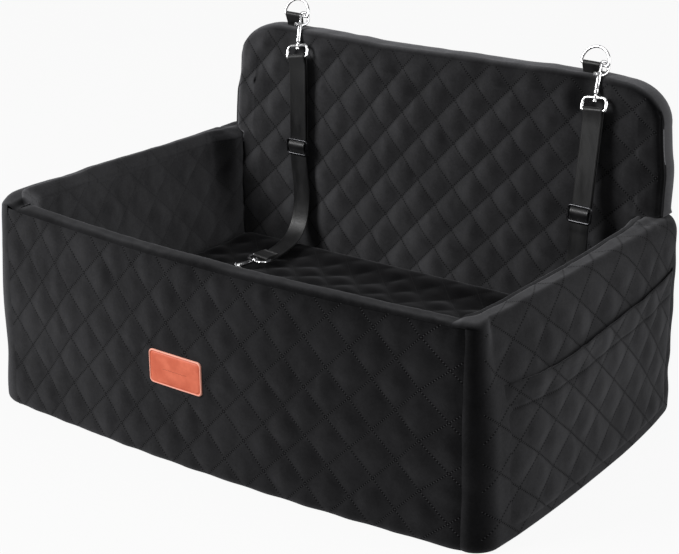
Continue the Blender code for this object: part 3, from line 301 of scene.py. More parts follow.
def join_parts(name, parts, materials, weld=1e-5):
    """Joins parts into one smooth piece, with its stitch and hem coordinates as two UV maps."""
    points, faces, stitches, slots, hems = [], [], [], [], []
    count = 0
    for part_points, part_faces, part_stitches, part_slots, part_hems in parts:
        points.append(part_points)
        faces += [tuple(number + count for number in face) for face in part_faces]
        stitches.append(part_stitches)
        slots += part_slots
        hems.append(part_hems)
        count += len(part_points)
    mesh = bpy.data.meshes.new(name)
    mesh.from_pydata(np.concatenate(points).tolist(), [], faces)
    mesh.polygons.foreach_set("material_index", slots)
    numbers = np.zeros(len(mesh.loops), np.int32)
    mesh.loops.foreach_get("vertex_index", numbers)
    for title, values in (("stitches", stitches), ("hems", hems)):
        layer = mesh.uv_layers.new(name=title)
        layer.data.foreach_set("uv", np.concatenate(values)[numbers].astype(np.float32).ravel())
    for material in materials:
        mesh.materials.append(material)
    mesh.polygons.foreach_set("use_smooth", [True] * len(mesh.polygons))
    mesh.update()
    made = bpy.data.objects.new(name, mesh)
    scene.collection.objects.link(made)
    if weld:
        work = bmesh.new()
        work.from_mesh(mesh)
        bmesh.ops.remove_doubles(work, verts=work.verts, dist=weld)
        bmesh.ops.dissolve_degenerate(work, edges=work.edges, dist=1e-6)
        work.to_mesh(mesh)
        work.free()
    return made


def dress(piece, body, nodes):
    """Puts a piece on the body it rides on and hides the solids it stands for."""
    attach(piece, body)
    if nodes:
        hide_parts(*nodes)


def lattice_steps(low, high):
    """Stitch numbers from low to high that meet every crossing, with the two ends."""
    first, last = math.ceil(low / lattice_step - 1e-6), math.floor(high / lattice_step + 1e-6)
    inner = np.arange(first, last + 1) * lattice_step
    inner = inner[(inner > low + lattice_step * 0.3) & (inner < high - lattice_step * 0.3)]
    return np.concatenate([[low], inner, [high]])


def rows_between(low, high, row, pitch):
    """Stitch numbers from one place to another, of evenly spaced lines with one crossing at row."""
    return lattice_steps((low - row) / pitch, (high - row) / pitch)


def columns_between(start, end, crossings, count):
    """Stitch numbers and places from one place to another, along a table of crossings."""
    numbers = lattice_steps(float(extended(crossings, start)), float(extended(crossings, end)))
    fine = np.linspace(start, end, count)
    return numbers, np.interp(numbers, extended(crossings, fine), fine)


def border_of(cells):
    """The rim of a grid, once round."""
    return np.concatenate([cells[:, 0], cells[-1, 1:], cells[::-1, -1][1:], cells[0, ::-1][1:]])


def puffs(stitch, points, height, seed, depths=(1, 1)):
    """How far a quilted cloth stands out between its stitches; depths weakens either family of lines."""
    lines = [np.sqrt(np.sin(math.pi * stitch[..., which]) ** 2 + 0.02) - 0.14 for which in (0, 1)]
    dome = mix(1, lines[0], depths[0]) * mix(1, lines[1], depths[1]) * 1.3
    cell = np.floor(stitch)
    uneven = 1 + 0.25 * waves(stacked(cell[..., 0], cell[..., 1], 0) + 0.37, 1.31, seed)
    crumple = 0.0008 * waves(points, 0.034, seed) + 0.0004 * waves(points, 0.013, seed + 1)
    near = np.exp(-np.minimum(*lines) / 0.30)
    pucker = 0.00042 * waves(points, 0.0085, seed + 2) * near * (1 - np.exp(-np.minimum(*lines) / 0.06))
    return dome * (height * uneven + crumple) + pucker


def seam_pull(edge, along, depth, seed):
    """How far the cloth dips and gathers near a seam, from its distance to the seam."""
    gather = waves(stacked(along, 0, edge * 0.25), 0.013, seed)
    swell = 0.0009 * gather * np.exp(-edge / 0.020) * (1 - np.exp(-edge / 0.004))
    return swell - depth * gauss(edge, 0.0045)


# Materials


def new_material(name, colour, roughness, metallic=0.0, more=()):
    """A material with its tree and its Principled shader, which gets the given values."""
    material = bpy.data.materials.new(name)
    material.use_nodes = True
    shader = material.node_tree.nodes["Principled BSDF"]
    for title, value in (("Base Color", (*colour, 1)), ("Roughness", roughness), ("Metallic", metallic), *more):
        shader.inputs[title].default_value = value
    return material, material.node_tree, shader


def math_node(tree, operation, first, second):
    node = tree.nodes.new("ShaderNodeMath")
    node.operation = operation
    for index, value in enumerate((first, second)):
        if isinstance(value, (int, float)):
            node.inputs[index].default_value = value
        else:
            tree.links.new(value, node.inputs[index])
    return node.outputs[0]


def plus(tree, first, second):
    return math_node(tree, "ADD", first, second)


def times(tree, first, second):
    return math_node(tree, "MULTIPLY", first, second)


def highest(tree, values):
    top = values[0]
    for value in values[1:]:
        top = math_node(tree, "MAXIMUM", top, value)
    return top


def split_uv(tree, title=None):
    """The two coordinates of a UV map, of the first one where none is named."""
    if title:
        node = tree.nodes.new("ShaderNodeUVMap")
        node.uv_map = title
        uv = node.outputs[0]
    else:
        uv = tree.nodes.new("ShaderNodeTexCoord").outputs["UV"]
    split = tree.nodes.new("ShaderNodeSeparateXYZ")
    tree.links.new(uv, split.inputs[0])
    return split.outputs[0], split.outputs[1]


def mix_shaders(tree, share, first, second, output):
    node = tree.nodes.new("ShaderNodeMixShader")
    for index, value in enumerate((share, first.outputs[0], second.outputs[0])):
        tree.links.new(value, node.inputs[index])
    tree.links.new(node.outputs[0], tree.nodes[output].inputs["Surface"])


def noise_node(tree, scale, detail=2.0, rough=0.5, stretch=None):
    node = tree.nodes.new("ShaderNodeTexNoise")
    node.inputs["Scale"].default_value = scale
    node.inputs["Detail"].default_value = detail
    node.inputs["Roughness"].default_value = rough
    where = tree.nodes.new("ShaderNodeTexCoord").outputs["Object"]
    if stretch:
        mapping = tree.nodes.new("ShaderNodeMapping")
        mapping.inputs["Scale"].default_value = stretch
        tree.links.new(where, mapping.inputs["Vector"])
        where = mapping.outputs["Vector"]
    tree.links.new(where, node.inputs["Vector"])
    return node.outputs["Fac"]


def ramp(tree, value, low, high, start=0.0, end=1.0):
    node = tree.nodes.new("ShaderNodeMapRange")
    node.interpolation_type = "SMOOTHSTEP"
    for name, number in (("From Min", low), ("From Max", high), ("To Min", start), ("To Max", end)):
        node.inputs[name].default_value = number
    tree.links.new(value, node.inputs["Value"])
    return node.outputs["Result"]


def mix_colour(tree, share, first, second):
    node = tree.nodes.new("ShaderNodeMix")
    node.data_type = "RGBA"
    tree.links.new(share, node.inputs[0])
    for index, colour in ((6, first), (7, second)):
        if isinstance(colour, tuple):
            node.inputs[index].default_value = (*colour, 1)
        else:
            tree.links.new(colour, node.inputs[index])
    return node.outputs[2]


def bump_node(tree, shader, height, strength, depth):
    node = tree.nodes.new("ShaderNodeBump")
    node.inputs["Strength"].default_value = strength
    node.inputs["Distance"].default_value = depth
    tree.links.new(height, node.inputs["Height"])
    tree.links.new(node.outputs["Normal"], shader.inputs["Normal"])


stitches_per_unit = 12.0
dark, light = (0.0008, 0.0008, 0.0009), (0.0026, 0.0026, 0.0029)
# Painted shade: the groove colour darkens a band along each stitch line, and the hole colour darkens the stitch holes,
# which the bump also sinks. The thread colour is the thread's own.
groove_shade_colour, thread_colour, hole_shade_colour = (0.0016, 0.0016, 0.0018), (0.062, 0.062, 0.064), (0.0004, 0.0004, 0.0005)


def velvet(name, quilted, glow=0.083, marks=0.85):
    """Short black pile: patches of tone, a sheen painted into the colour that brightens it where the cloth turns from
    the view (glow sets how bright), a dotted hem and, where it is quilted, rows of stitches with painted shade in their
    grooves and holes.
    """
    material, tree, shader = new_material(name, dark, 0.95, 0.0, [
        ("Specular IOR Level", 0.02), ("Sheen Weight", 0.08), ("Sheen Roughness", 0.40),
        ("Sheen Tint", (0.90, 0.90, 0.94, 1))])
    patches = noise_node(tree, 13, 4, 0.62)
    streaks = noise_node(tree, 70, 3, 0.6, (1, 1, 0.35))
    pile = noise_node(tree, 1300, 2, 0.7)
    tufts = noise_node(tree, 330, 3, 0.7)
    shade = plus(tree, ramp(tree, patches, 0.30, 0.72, 0, 0.75), ramp(tree, streaks, 0.3, 0.7, 0, 0.30))
    shade = plus(tree, shade, ramp(tree, pile, 0.25, 0.75, -0.14, 0.26))
    shade = plus(tree, shade, ramp(tree, tufts, 0.32, 0.68, -0.26, 0.26))
    # Painted sheen: the colour is mixed toward this pale tone, varied by the patches, the more the cloth turns away
    # from the view.
    pale = tuple(glow * part for part in (0.78, 0.78, 0.82))
    painted_sheen_colour = mix_colour(tree, shade, pale, tuple(1.4 * part for part in pale))
    slant = tree.nodes.new("ShaderNodeLayerWeight")
    slant.inputs["Blend"].default_value = 0.5
    facing = math_node(tree, "POWER", slant.outputs["Facing"], 1.3)
    colour = mix_colour(tree, facing, mix_colour(tree, shade, dark, light), painted_sheen_colour)
    height = plus(tree, times(tree, pile, 0.10), times(tree, streaks, 0.14))
    lines, holes, threads = [], [], []
    for title, across, along in [("stitches", 0, 1), ("stitches", 1, 0), ("hems", 1, 0)][0 if quilted else 2:]:
        uv = split_uv(tree, title)
        away = math_node(tree, "PINGPONG", uv[across], 0.5)
        dash = math_node(tree, "PINGPONG", times(tree, uv[along], stitches_per_unit), 0.5)
        narrow = ramp(tree, away, 0.007, 0.024, 1, 0)
        lines.append(ramp(tree, away, 0.0, 0.060, 1, 0))
        holes.append(times(tree, narrow, ramp(tree, dash, 0.20, 0.34)))
        threads.append(times(tree, narrow, ramp(tree, dash, 0.06, 0.20, 1, 0)))
    hole = highest(tree, holes)
    # Painted shade along the quilting grooves and in the stitch holes, with the lighter thread dashes between.
    for share, strength, tint in ((highest(tree, lines), 0.40, groove_shade_colour),
                                  (highest(tree, threads), 0.60, thread_colour), (hole, 1.0, hole_shade_colour)):
        colour = mix_colour(tree, times(tree, share, strength * marks), colour, tint)
    tree.links.new(colour, shader.inputs["Base Color"])
    bump_node(tree, shader, math_node(tree, "SUBTRACT", height, times(tree, hole, 0.16)), 0.60, 0.0010)
    return material


# Copies of one velvet that differ in the strength of their painted sheen: the back, its border and the insides carry
# painted light, and the cushion and the top bands painted shade. The insides and the cushion also get fainter stitch
# marks.
quilted_velvet = velvet("quilted_velvet_stitched", True)
plain_velvet = velvet("quilted_velvet_plain", False)
back_velvet = velvet("quilted_velvet_back", True, 0.195)
back_border = velvet("quilted_velvet_border", False, 0.150)
inner_velvet = velvet("quilted_velvet_inside", True, 0.225, 0.22)
cushion_velvet = velvet("quilted_velvet_cushion", True, 0.0125, 0.60)
band_velvet = velvet("quilted_velvet_band", False, 0.040)
wall_velvets = [quilted_velvet, plain_velvet, inner_velvet, band_velvet]


ribs_per_metre, picks_per_metre = 600.0, 900.0


def webbing_material(name):
    """Satin seat-belt webbing: lengthwise ribs and a tight twill. UVs are metres along and across."""
    material, tree, shader = new_material(name, (0.006, 0.006, 0.0065), 0.42, 0.0, [
        ("Specular IOR Level", 0.42), ("Sheen Weight", 0.10), ("Sheen Roughness", 0.4)])
    along, across = split_uv(tree)
    ribs = math_node(tree, "PINGPONG", times(tree, across, ribs_per_metre), 0.5)
    slanted = plus(tree, times(tree, along, picks_per_metre), times(tree, across, picks_per_metre / 2))
    picks = math_node(tree, "PINGPONG", slanted, 0.5)
    weave = plus(tree, ramp(tree, ribs, 0.0, 0.5), times(tree, picks, 0.6))
    wear = noise_node(tree, 45, 3, 0.6, (1, 1, 0.3))
    tree.links.new(mix_colour(tree, ramp(tree, wear, 0.35, 0.7), (0.0028, 0.0028, 0.0031), (0.0066, 0.0066, 0.0071)),
                   shader.inputs["Base Color"])
    tree.links.new(ramp(tree, wear, 0.3, 0.7, 0.34, 0.50), shader.inputs["Roughness"])
    bump_node(tree, shader, weave, 0.35, 0.0003)
    return material


def metal_material(name, colour, rough_low, rough_high):
    """Plated metal with faint casting waves, fingerprints and small scratches."""
    material, tree, shader = new_material(name, colour, rough_low, 1.0)
    smears = noise_node(tree, 260, 3, 0.6)
    scratches = noise_node(tree, 900, 2, 0.5, (1, 0.15, 1))
    tree.links.new(ramp(tree, smears, 0.35, 0.7, rough_low, rough_high), shader.inputs["Roughness"])
    dull = tuple(value * 0.86 for value in colour)
    tree.links.new(mix_colour(tree, ramp(tree, smears, 0.4, 0.8), colour, dull), shader.inputs["Base Color"])
    bump_node(tree, shader, plus(tree, times(tree, scratches, 0.3), smears), 0.12, 0.0004)
    return material


def leather_material():
    """Smooth leather with fine pores; the UV map's first coordinate is 1 on the pale cut edge."""
    material, tree, shader = new_material("label_leather_smooth", (0.70, 0.17, 0.09), 0.46, 0.0,
                                          [("Specular IOR Level", 0.4)])
    cells = tree.nodes.new("ShaderNodeTexVoronoi")
    cells.inputs["Scale"].default_value = 1500
    tree.links.new(tree.nodes.new("ShaderNodeTexCoord").outputs["Object"], cells.inputs["Vector"])
    clouds = noise_node(tree, 60, 4, 0.6)
    rim = ramp(tree, split_uv(tree)[0], 0.0, 1.0)
    body = mix_colour(tree, ramp(tree, clouds, 0.3, 0.75), (0.53, 0.104, 0.050), (0.66, 0.155, 0.082))
    tree.links.new(mix_colour(tree, rim, body, (0.80, 0.36, 0.27)), shader.inputs["Base Color"])
    tree.links.new(ramp(tree, clouds, 0.3, 0.7, 0.40, 0.54), shader.inputs["Roughness"])
    bump_node(tree, shader, plus(tree, cells.outputs["Distance"], times(tree, clouds, 0.6)), 0.30, 0.0004)
    return material


webbing = webbing_material("webbing_satin")
chrome = metal_material("chrome_plate", (0.82, 0.82, 0.83), 0.10, 0.20)
dark_metal = metal_material("enamel_black", (0.050, 0.050, 0.053), 0.24, 0.38)
zip_metal = metal_material("zip_metal_black", (0.10, 0.10, 0.105), 0.28, 0.42)
leather = leather_material()


def lining_material():
    """Plain woven cloth with rows of non-slip dots."""
    material, tree, shader = new_material("base_fabric_woven", (0.012, 0.012, 0.012), 0.85)
    weave = noise_node(tree, 1500, 1, 0.5, (1, 0.3, 1))
    dots = tree.nodes.new("ShaderNodeTexVoronoi")
    dots.inputs["Scale"].default_value = 260
    dots.inputs["Randomness"].default_value = 0.0
    tree.links.new(tree.nodes.new("ShaderNodeTexCoord").outputs["Object"], dots.inputs["Vector"])
    nub = ramp(tree, dots.outputs["Distance"], 0.18, 0.30, 1, 0)
    tree.links.new(mix_colour(tree, nub, (0.010, 0.010, 0.010), (0.028, 0.028, 0.028)), shader.inputs["Base Color"])
    bump_node(tree, shader, plus(tree, nub, times(tree, weave, 0.3)), 0.5, 0.0008)
    return material


lining = lining_material()


# Padding of the walls


def stitch_of(numbers_across, numbers_up):
    """Numbers of the two slanting families of stitch lines."""
    return stacked(numbers_across + numbers_up, numbers_across - numbers_up)


def bottom_roll(z):
    """How far a wall's face turns under near the ground."""
    share = 1 - np.clip(z / 0.0070, 0, 1)
    return foot_reach * round_fall(share) - foot_spread * (1 - blend(z / 0.075))


def foot_rise(y, z):
    """How far a side wall's foot is drawn up toward its rear corner."""
    return follow([(-0.220, 0), (0.080, 0), (0.165, 0.0055), (0.2190, 0.0140)], y) * blend(1 - z / 0.10)


def raised(points, way, lift):
    """Points moved along their directions."""
    return points + way * lift[..., None]


def stretched(z, start, usual, top):
    """Moves the heights above start, so that the usual top comes to lie at the real one."""
    return z + blend((z - start) / (usual - start)) * (top - usual)


def front_panel():
    """The front wall's outer face: quilted, with a flat place behind the label."""
    numbers = lattice_steps(float(extended(front_crossings, -front_half_width)),
                            float(extended(front_crossings, front_half_width)))
    known, places = np.array(front_crossings, float).T
    xs = np.interp(numbers, known, places)
    xs = np.where(numbers < known[0], places[0] + (numbers - known[0]) * (places[1] - places[0]), xs)
    xs = np.where(numbers > known[-1], places[-1] + (numbers - known[-1]) * (places[-1] - places[-2]) * 2, xs)
    top = float(front_height(0)) - seam_drop
    ups = rows_between(panel_foot, top, front_row, front_pitch)
    x, up = grid(np.clip(xs, -front_half_width, front_half_width), ups)
    z = (front_row + up * front_pitch) * (front_height(x) - seam_drop) / top
    points = stacked(x, front_outer(x, z / front_height(x)), z)
    stitch = stitch_of(*grid(numbers, ups))
    seam_top = front_height(x) - seam_drop - z
    seam_side = np.where(x > 0, front_half_width - x, 1)
    lift = puffs(stitch, points, 0.0013, 1) * (0.35 + 0.65 * blend(np.minimum(seam_top, seam_side) / 0.016))
    lift += seam_pull(seam_top, x, 0.0014, 2) + seam_pull(seam_side, z, 0.0013, 3)
    label = np.maximum(abs(x - label_centre[0]) / label_size[0], abs(z - label_centre[1]) / label_size[1]) * 2
    lift = mix(0.0010, lift, blend((label - 1.0) / 0.35))
    points[..., 1] += bottom_roll(z) - lift
    return grid_part(points, stitch, 0)


def front_band():
    """The smooth, wrinkled band along the front wall's top."""
    x, share = grid(np.linspace(-inner_half_width, inner_half_width, 300), np.linspace(0, 1, 17))
    y = front_outer(x, 1) + share * top_band_width
    ends = blend((inner_half_width - abs(x)) / 0.012)
    crown = (1 - abs(2 * share - 1) ** 5) * mix(0.0030, 0.0042, ends)
    points = stacked(x, y, front_height(x) - seam_drop - 0.0004 + crown)
    slanted = stacked(x + y * 0.9, (y - x) * 0.22, 0)
    wrinkle = sum(height * waves(place, size, seed) for place, size, seed, height in (
        (slanted, 0.0075, 5, 0.0008), (slanted, 0.018, 6, 0.0011), (points, 0.060, 9, 0.0014)))
    points = raised(points, -normals(points), wrinkle * np.sin(math.pi * share) ** 0.7)
    return grid_part(points, stacked(x, y), 3)


def front_inside():
    """The front wall's quilted inner face, down to below the cushion's top."""
    numbers = lattice_steps(-inner_half_width / inside_width, inner_half_width / inside_width)
    top = float(front_height(0)) - seam_drop
    across, up = grid(numbers, rows_between(inner_foot, top, inside_row, inside_pitch))
    x = across * inside_width
    z = (inside_row + up * inside_pitch) * (front_height(x) - seam_drop) / top
    points = stacked(x, front_inner(x, z / front_height(x)), z)
    stitch = stitch_of(across, up)
    seam_top = front_height(x) - seam_drop - z
    near = np.minimum(seam_top, inner_half_width - abs(x))
    points[..., 1] += puffs(stitch, points, 0.0014, 7) * (0.3 + 0.7 * blend(near / 0.020))
    points[..., 1] += seam_pull(seam_top, x, 0.0018, 8)
    return grid_part(points, stitch, 2, True)


def front_under():
    """The plain strip under the front wall."""
    x, share = grid(np.linspace(-front_half_width, front_half_width, 80), np.linspace(0, 1, 6))
    inner_x = x * inner_half_width / front_half_width
    y = mix(front_outer(x, 0) + foot_reach - foot_spread, front_inner(inner_x, 0), share)
    return grid_part(stacked(mix(x, inner_x, share), y, under_level), stacked(x, y), 1, True)


front_wall = join_parts("front_wall_padding", [front_panel(), front_band(), front_inside(), front_under()],
                        wall_velvets)
dress(front_wall, "seat", ("front_wall_cover", "front_wall_foam"))


def side_columns():
    """The stitch numbers and travels of a side wall's columns, to the end of its rear corner."""
    numbers = lattice_steps(float(side_number(0.0)), float(side_number(rear_end)))
    table_travel = np.linspace(0, rear_end, 400)
    return numbers, np.interp(numbers, side_number(table_travel), table_travel)


def side_panel(mirror, seed):
    """A side wall's outer face: plain round the front corner and at the top, quilted between."""
    numbers, travels = side_columns()
    travels = np.concatenate([travels, rear_end + np.array([0.004, 0.010, 0.016, 0.0215, 0.0262])])
    numbers = np.concatenate([numbers, numbers[-1] + np.array([0.1, 0.22, 0.35, 0.5, 0.6])])
    usual = float(wall_top(0.0, mirror)) - roll_height
    ups = rows_between(panel_foot, usual, side_row, side_pitch)
    travel, up = grid(travels, ups)
    height = wall_top(travel - corner_arc + along_start, mirror)
    top = height - roll_drop(travel)
    z = stretched(side_row + up * side_pitch, 0.16, usual, top)
    x, y = side_path(travel, z / height, mirror)
    points = stacked(x, y, z + foot_rise(y, z) * (1 - blend((travel - rear_end) / 0.018)))
    way = outward(points)
    stitch = stitch_of(*grid(numbers, ups))
    quilted = (1 - blend((travel - rear_end + 0.040) / 0.035)) * blend((travel - 0.026) / 0.050)
    lift = puffs(stitch, points, 0.0019, seed) * blend((top + 0.002 - z) / 0.028) * quilted
    lift += 0.0012 * waves(points, 0.060, seed + 3) * blend(travel / 0.03) * blend((top - z) / 0.02)
    behind_pocket = blend((follow(pocket_mouth, y) + 0.012 - z) / 0.020) * (y < pocket_rear)
    lift = lift * (1 - behind_pocket * blend((travel - 0.015) / 0.030))
    lift += seam_pull(travel, z, 0.0013 * (mirror > 0), seed + 2) * (travel < 0.02)
    points = raised(points, way, lift - bottom_roll(z) * (travel < rear_end + 0.012))
    points[-1, :, 0] = behind_back
    points[-1, :, 1] -= 0.0070
    points[..., 0] *= mirror
    bare = (travel < corner_arc * 0.45) | (travel > rear_end - 0.002) | ((z > top - 0.004) & (mirror < 0))
    return grid_part(points, stitch, bare[:-1, :-1].astype(int), mirror < 0)


def outward(points):
    """Level outward directions of a side wall's right-hand outer face."""
    along = np.gradient(points, axis=0)
    way = stacked(along[..., 1], -along[..., 0], 0)
    return way / np.maximum(np.linalg.norm(way, axis=-1, keepdims=True), 1e-9)


def band_section(wide):
    """A roll's section: shares of its width, and how far each point lies down the outer and the inner edge."""
    bend = np.linspace(0, math.pi / 2, 8)
    flat = np.linspace(wide, shoulder_share, 12)[1:-1]
    none = np.zeros(len(flat) + len(bend))
    inner = shoulder_share + (1 - shoulder_share) * np.sin(bend)
    shares = np.concatenate([wide * (1 - np.cos(bend)), flat, inner, [0.985]])
    return shares, np.concatenate([1 - np.sin(bend), none, [0]]), np.concatenate([none, 1 - np.cos(bend), [1]])


def side_band(mirror, seed):
    """The smooth roll along a side wall's top, on the panel's own columns, with its tip on the front corner."""
    lead = front_half_width - inner_half_width
    run = np.concatenate([np.linspace(-lead, 0, 8)[:-1], side_columns()[1]])
    travel = run[:, None]
    wide = roll_share[mirror]
    shares, outer_fall, inner_fall = band_section(wide)
    tuck = np.append(np.zeros(len(shares) - 1), 0.0035)
    height = wall_top(travel - corner_arc + along_start, mirror)
    fall = roll_drop(travel) * outer_fall
    outer_x, outer_y = side_path(np.maximum(travel, 0), (height - fall) / height, mirror)
    outer_x = np.where(travel < 0, front_half_width + travel, outer_x)
    outer_y = np.where(travel < 0, front_outer(front_half_width + travel, 1), outer_y)
    progress = np.clip((travel + lead * 0.4) / (rear_end + lead * 0.4), 0, 1)
    inner_y = mix(float(front_inner(inner_half_width, 1.0)), band_rear, progress ** 1.03)
    inner_y = np.where(travel > corner_arc, np.maximum(inner_y, outer_y[:, -1:] - 0.004), inner_y)
    inner_x = side_inner(inner_y, 1.0, mirror)
    tip = blend((travel + lead) / 0.016)
    x = mix(outer_x, inner_x, shares)
    y = mix(outer_y, inner_y, shares)
    z = mix(height, wall_top(y, mirror), blend(shares / 0.15))
    z = mix(side_height(y) - 0.0010, z, tip) - fall - inner_drop[mirror] * inner_fall * tip
    z = z - top_slope[mirror] * blend((shares - wide) / (1 - wide)) * tip
    lip = 0.0010 * blend((shares - sewn_share) / 0.05) - 0.0030 * gauss(shares - sewn_share, 0.032)
    z = z + lip * tip * (mirror > 0) - tuck
    points = stacked(x, y, z)
    along = stacked(y + x * 0.8, x * 0.45, 0)
    wrinkle = waves(along, 0.011, seed) * 0.0006 + waves(along, 0.028, seed + 3) * 0.0010
    wrinkle += waves(points, 0.070, seed + 1) * 0.0018
    gather = gauss(0.176 - y, 0.026) * waves(stacked(y + x, x, z), 0.010, seed + 2) * 0.0026
    points[..., 2] += (wrinkle + gather) * np.sin(math.pi * shares) * tip
    points[..., 0] *= mirror
    thickness = np.hypot(outer_x[:, -1:] - inner_x, outer_y[:, -1:] - inner_y)
    if mirror > 0:
        usual = float(wall_top(0.0, mirror)) - roll_height
        hems = stacked(travel / hem_pitch, np.clip((shares - sewn_share) * thickness / hem_reach, -0.5, 0.5))
        level = usual + roll_drop(travel) * (1 - outer_fall) + shares * thickness
        stitch = stitch_of(side_number(travel), (level - side_row) / side_pitch)
        slots = np.where((shares[:-1] < sewn_share - 0.05) & (travel[:-1] > corner_arc * 0.75), 0, 1)
    else:
        hems = stacked(travel / hem_pitch, np.full(x.shape, 0.5))
        level = wall_top(y, mirror) - top_slope[mirror] - inner_drop[mirror] + (1 - shares) * thickness
        stitch = stitch_of((y - inside_column) / inside_width, (level - inside_row) / inside_pitch)
        slots = np.where(shares[:-1] < wide * 0.8, 1, 2)
    return grid_part(points, stitch, slots, mirror < 0, hems)


def side_inside(mirror, seed):
    """A side wall's quilted inner face, down to below the cushion's top."""
    rear = backrest_front + rear_strip
    fall = top_slope[mirror] + inner_drop[mirror]
    usual = float(wall_top(0.0, mirror)) - fall
    across, up = grid(rows_between(-0.2020, rear, inside_column, inside_width),
                      rows_between(inner_foot, usual, inside_row, inside_pitch))
    y = inside_column + across * inside_width
    top = wall_top(y, mirror) - fall
    z = stretched(inside_row + up * inside_pitch, 0.17, usual, top)
    start = front_inner(inner_half_width, z / (top + fall)) - 0.002
    y = np.maximum(y, start)
    points = stacked(side_inner(y, z / top, mirror), y, z)
    stitch = stitch_of(across, up)
    edge = np.minimum(top - z + 0.02 * (mirror < 0), y - start)
    lift = puffs(stitch, points, inner_puff[mirror], seed) * (0.3 + 0.7 * blend(edge / 0.020))
    lift += 0.0016 * waves(points, 0.080, seed + 3) * blend(edge / 0.03)
    lift += seam_pull(rear - y, z, 0.0016, seed + 2)
    gather = np.exp(-(rear - y) / 0.022) * waves(stacked(z, 0, y * 0.2), 0.011, seed + 4)
    points[..., 0] -= lift + 0.0008 * gather * blend((z - 0.18) / 0.04)
    points[..., 0] *= mirror
    return grid_part(points, stitch, 2, mirror > 0)


def side_under(mirror):
    """The plain strip under a side wall."""
    travels = np.linspace(0, rear_end, 90)
    outer_x, outer_y = side_path(travels, np.zeros_like(travels), mirror)
    inset, ahead = foot_reach - foot_spread, 1 - np.clip(travels / corner_arc, 0, 1)
    outer_x, outer_y = outer_x - inset * (1 - ahead), outer_y + inset * ahead
    inner_y = mix(-0.1750, under_rear, travels / rear_end)
    shares = np.linspace(0, 1, 5)
    points = stacked(mix(outer_x[:, None], side_inner(inner_y, 0.0)[:, None], shares) * mirror,
                     mix(outer_y[:, None], inner_y[:, None], shares),
                     under_level + foot_rise(outer_y, 0)[:, None] * (1 - shares))
    return grid_part(points, points[..., :2], 1, mirror > 0)


for side_name, mirror, seed in (("left", -1, 20), ("right", 1, 40)):
    wall = join_parts(side_name + "_wall_padding",
                      [side_panel(mirror, seed), side_band(mirror, seed + 4), side_inside(mirror, seed + 7),
                       side_under(mirror)], wall_velvets)
    dress(wall, "seat", (side_name + "_wall_cover", side_name + "_wall_foam"))


# Pockets


def make_pocket(side_name, mirror, seed):
    """A quilted patch pocket: sewn at its ends and foot, its mouth a little open, with a stitched hem."""
    numbers, ys = columns_between(pocket_front, pocket_rear, side_crossings, 300)
    ys[0], ys[-1] = pocket_front, pocket_rear
    y, up = grid(ys, rows_between(pocket_bottom, pocket_top, pocket_row, side_pitch))
    mouth = follow(pocket_mouth, y)
    z = pocket_row + up * side_pitch
    bent = mouth - 0.050
    z = np.where(z > bent, bent + (z - bent) * 0.050 / (float(z.max()) - bent), z)
    share = (y - pocket_front) / (pocket_rear - pocket_front)
    open_share = np.clip((z - pocket_bottom) / (mouth - pocket_bottom), 0, 1)
    bulge = pocket_bulge * np.sin(math.pi * np.clip(share, 0, 1)) ** 0.8 * blend(share / 0.3) * open_share ** 1.5
    points = stacked(side_outer(y, z / wall_top(y, mirror), mirror) + seam_gap + bulge, y, z)
    stitch = stitch_of(grid(numbers, up[0])[0], (z - pocket_row) / side_pitch)
    ends = np.minimum((y - pocket_front) * 0.35, (pocket_rear - y) * 0.5)
    edge = np.minimum(ends, z - pocket_bottom)
    hem = mouth - z
    lift = -0.0009 + 0.0024 * blend((y - pocket_front) / 0.060)
    lift = lift + puffs(stitch, points, 0.0020, seed) * blend(np.minimum(edge + 0.002, hem + 0.012) / 0.020)
    lift += 0.0020 * blend((0.024 - hem) / 0.022) * blend((y - pocket_front - 0.004) / 0.016)
    lift = mix(-0.0012, lift, blend(np.minimum(z - pocket_bottom, pocket_rear - y) / 0.010))
    lift -= 0.0009 * gauss(hem - hem_drop, 0.0024) * blend(ends / 0.01)
    ripple = waves(stacked(y, 0, z * 0.4), 0.020, seed + 3) * np.exp(-abs(hem - 0.013) / 0.020)
    lift += 0.0012 * ripple * blend(ends / 0.02)
    points[..., 0] += lift - bottom_roll(z)
    points[..., 2] += foot_rise(y, z)
    rim = points[:, -1:]
    folds = [rim]
    for inward, drop in ((0.0006, -0.0006), (0.0018, -0.0003), (0.0028, 0.0010), (0.0031, 0.0060), (0.0031, 0.0180)):
        fold = rim.copy()
        fold[..., 0] -= inward * blend(ends[:, -1:] / 0.020)
        fold[..., 2] -= drop
        folds.append(fold)
    lip = np.concatenate(folds, axis=1)
    points[..., 0] *= mirror
    lip[..., 0] *= mirror
    hems = stacked(y / hem_pitch, np.clip((hem - hem_drop) / hem_reach, -0.5, 0.5))
    pocket = join_parts(side_name + "_side_pocket_panel",
                        [grid_part(points, stitch, 0, mirror < 0, hems), grid_part(lip, lip[..., 1:], 1, mirror < 0)],
                        [quilted_velvet, plain_velvet])
    dress(pocket, "seat", (side_name + "_side_pocket",))


make_pocket("left", -1, 60)
make_pocket("right", 1, 70)


# Backrest


def back_top(x, room):
    """The back's upper edge, from the room to its nearer side."""
    radius = np.where(x < 0, backrest_corner_radius * 1.2, backrest_corner_radius)
    past = np.clip(radius - room, 0, radius)
    drop = radius - np.sqrt(np.maximum(radius ** 2 - past ** 2, 0))
    return backrest_height + follow(back_rise, x) - drop * 0.85


def corner_shift(x, z):
    """How far the crossings beside the back's right corner stand higher than the rest of their rows."""
    return 0.008 * blend((x - 0.2) / 0.12) * blend((0.400 - z) / 0.05)


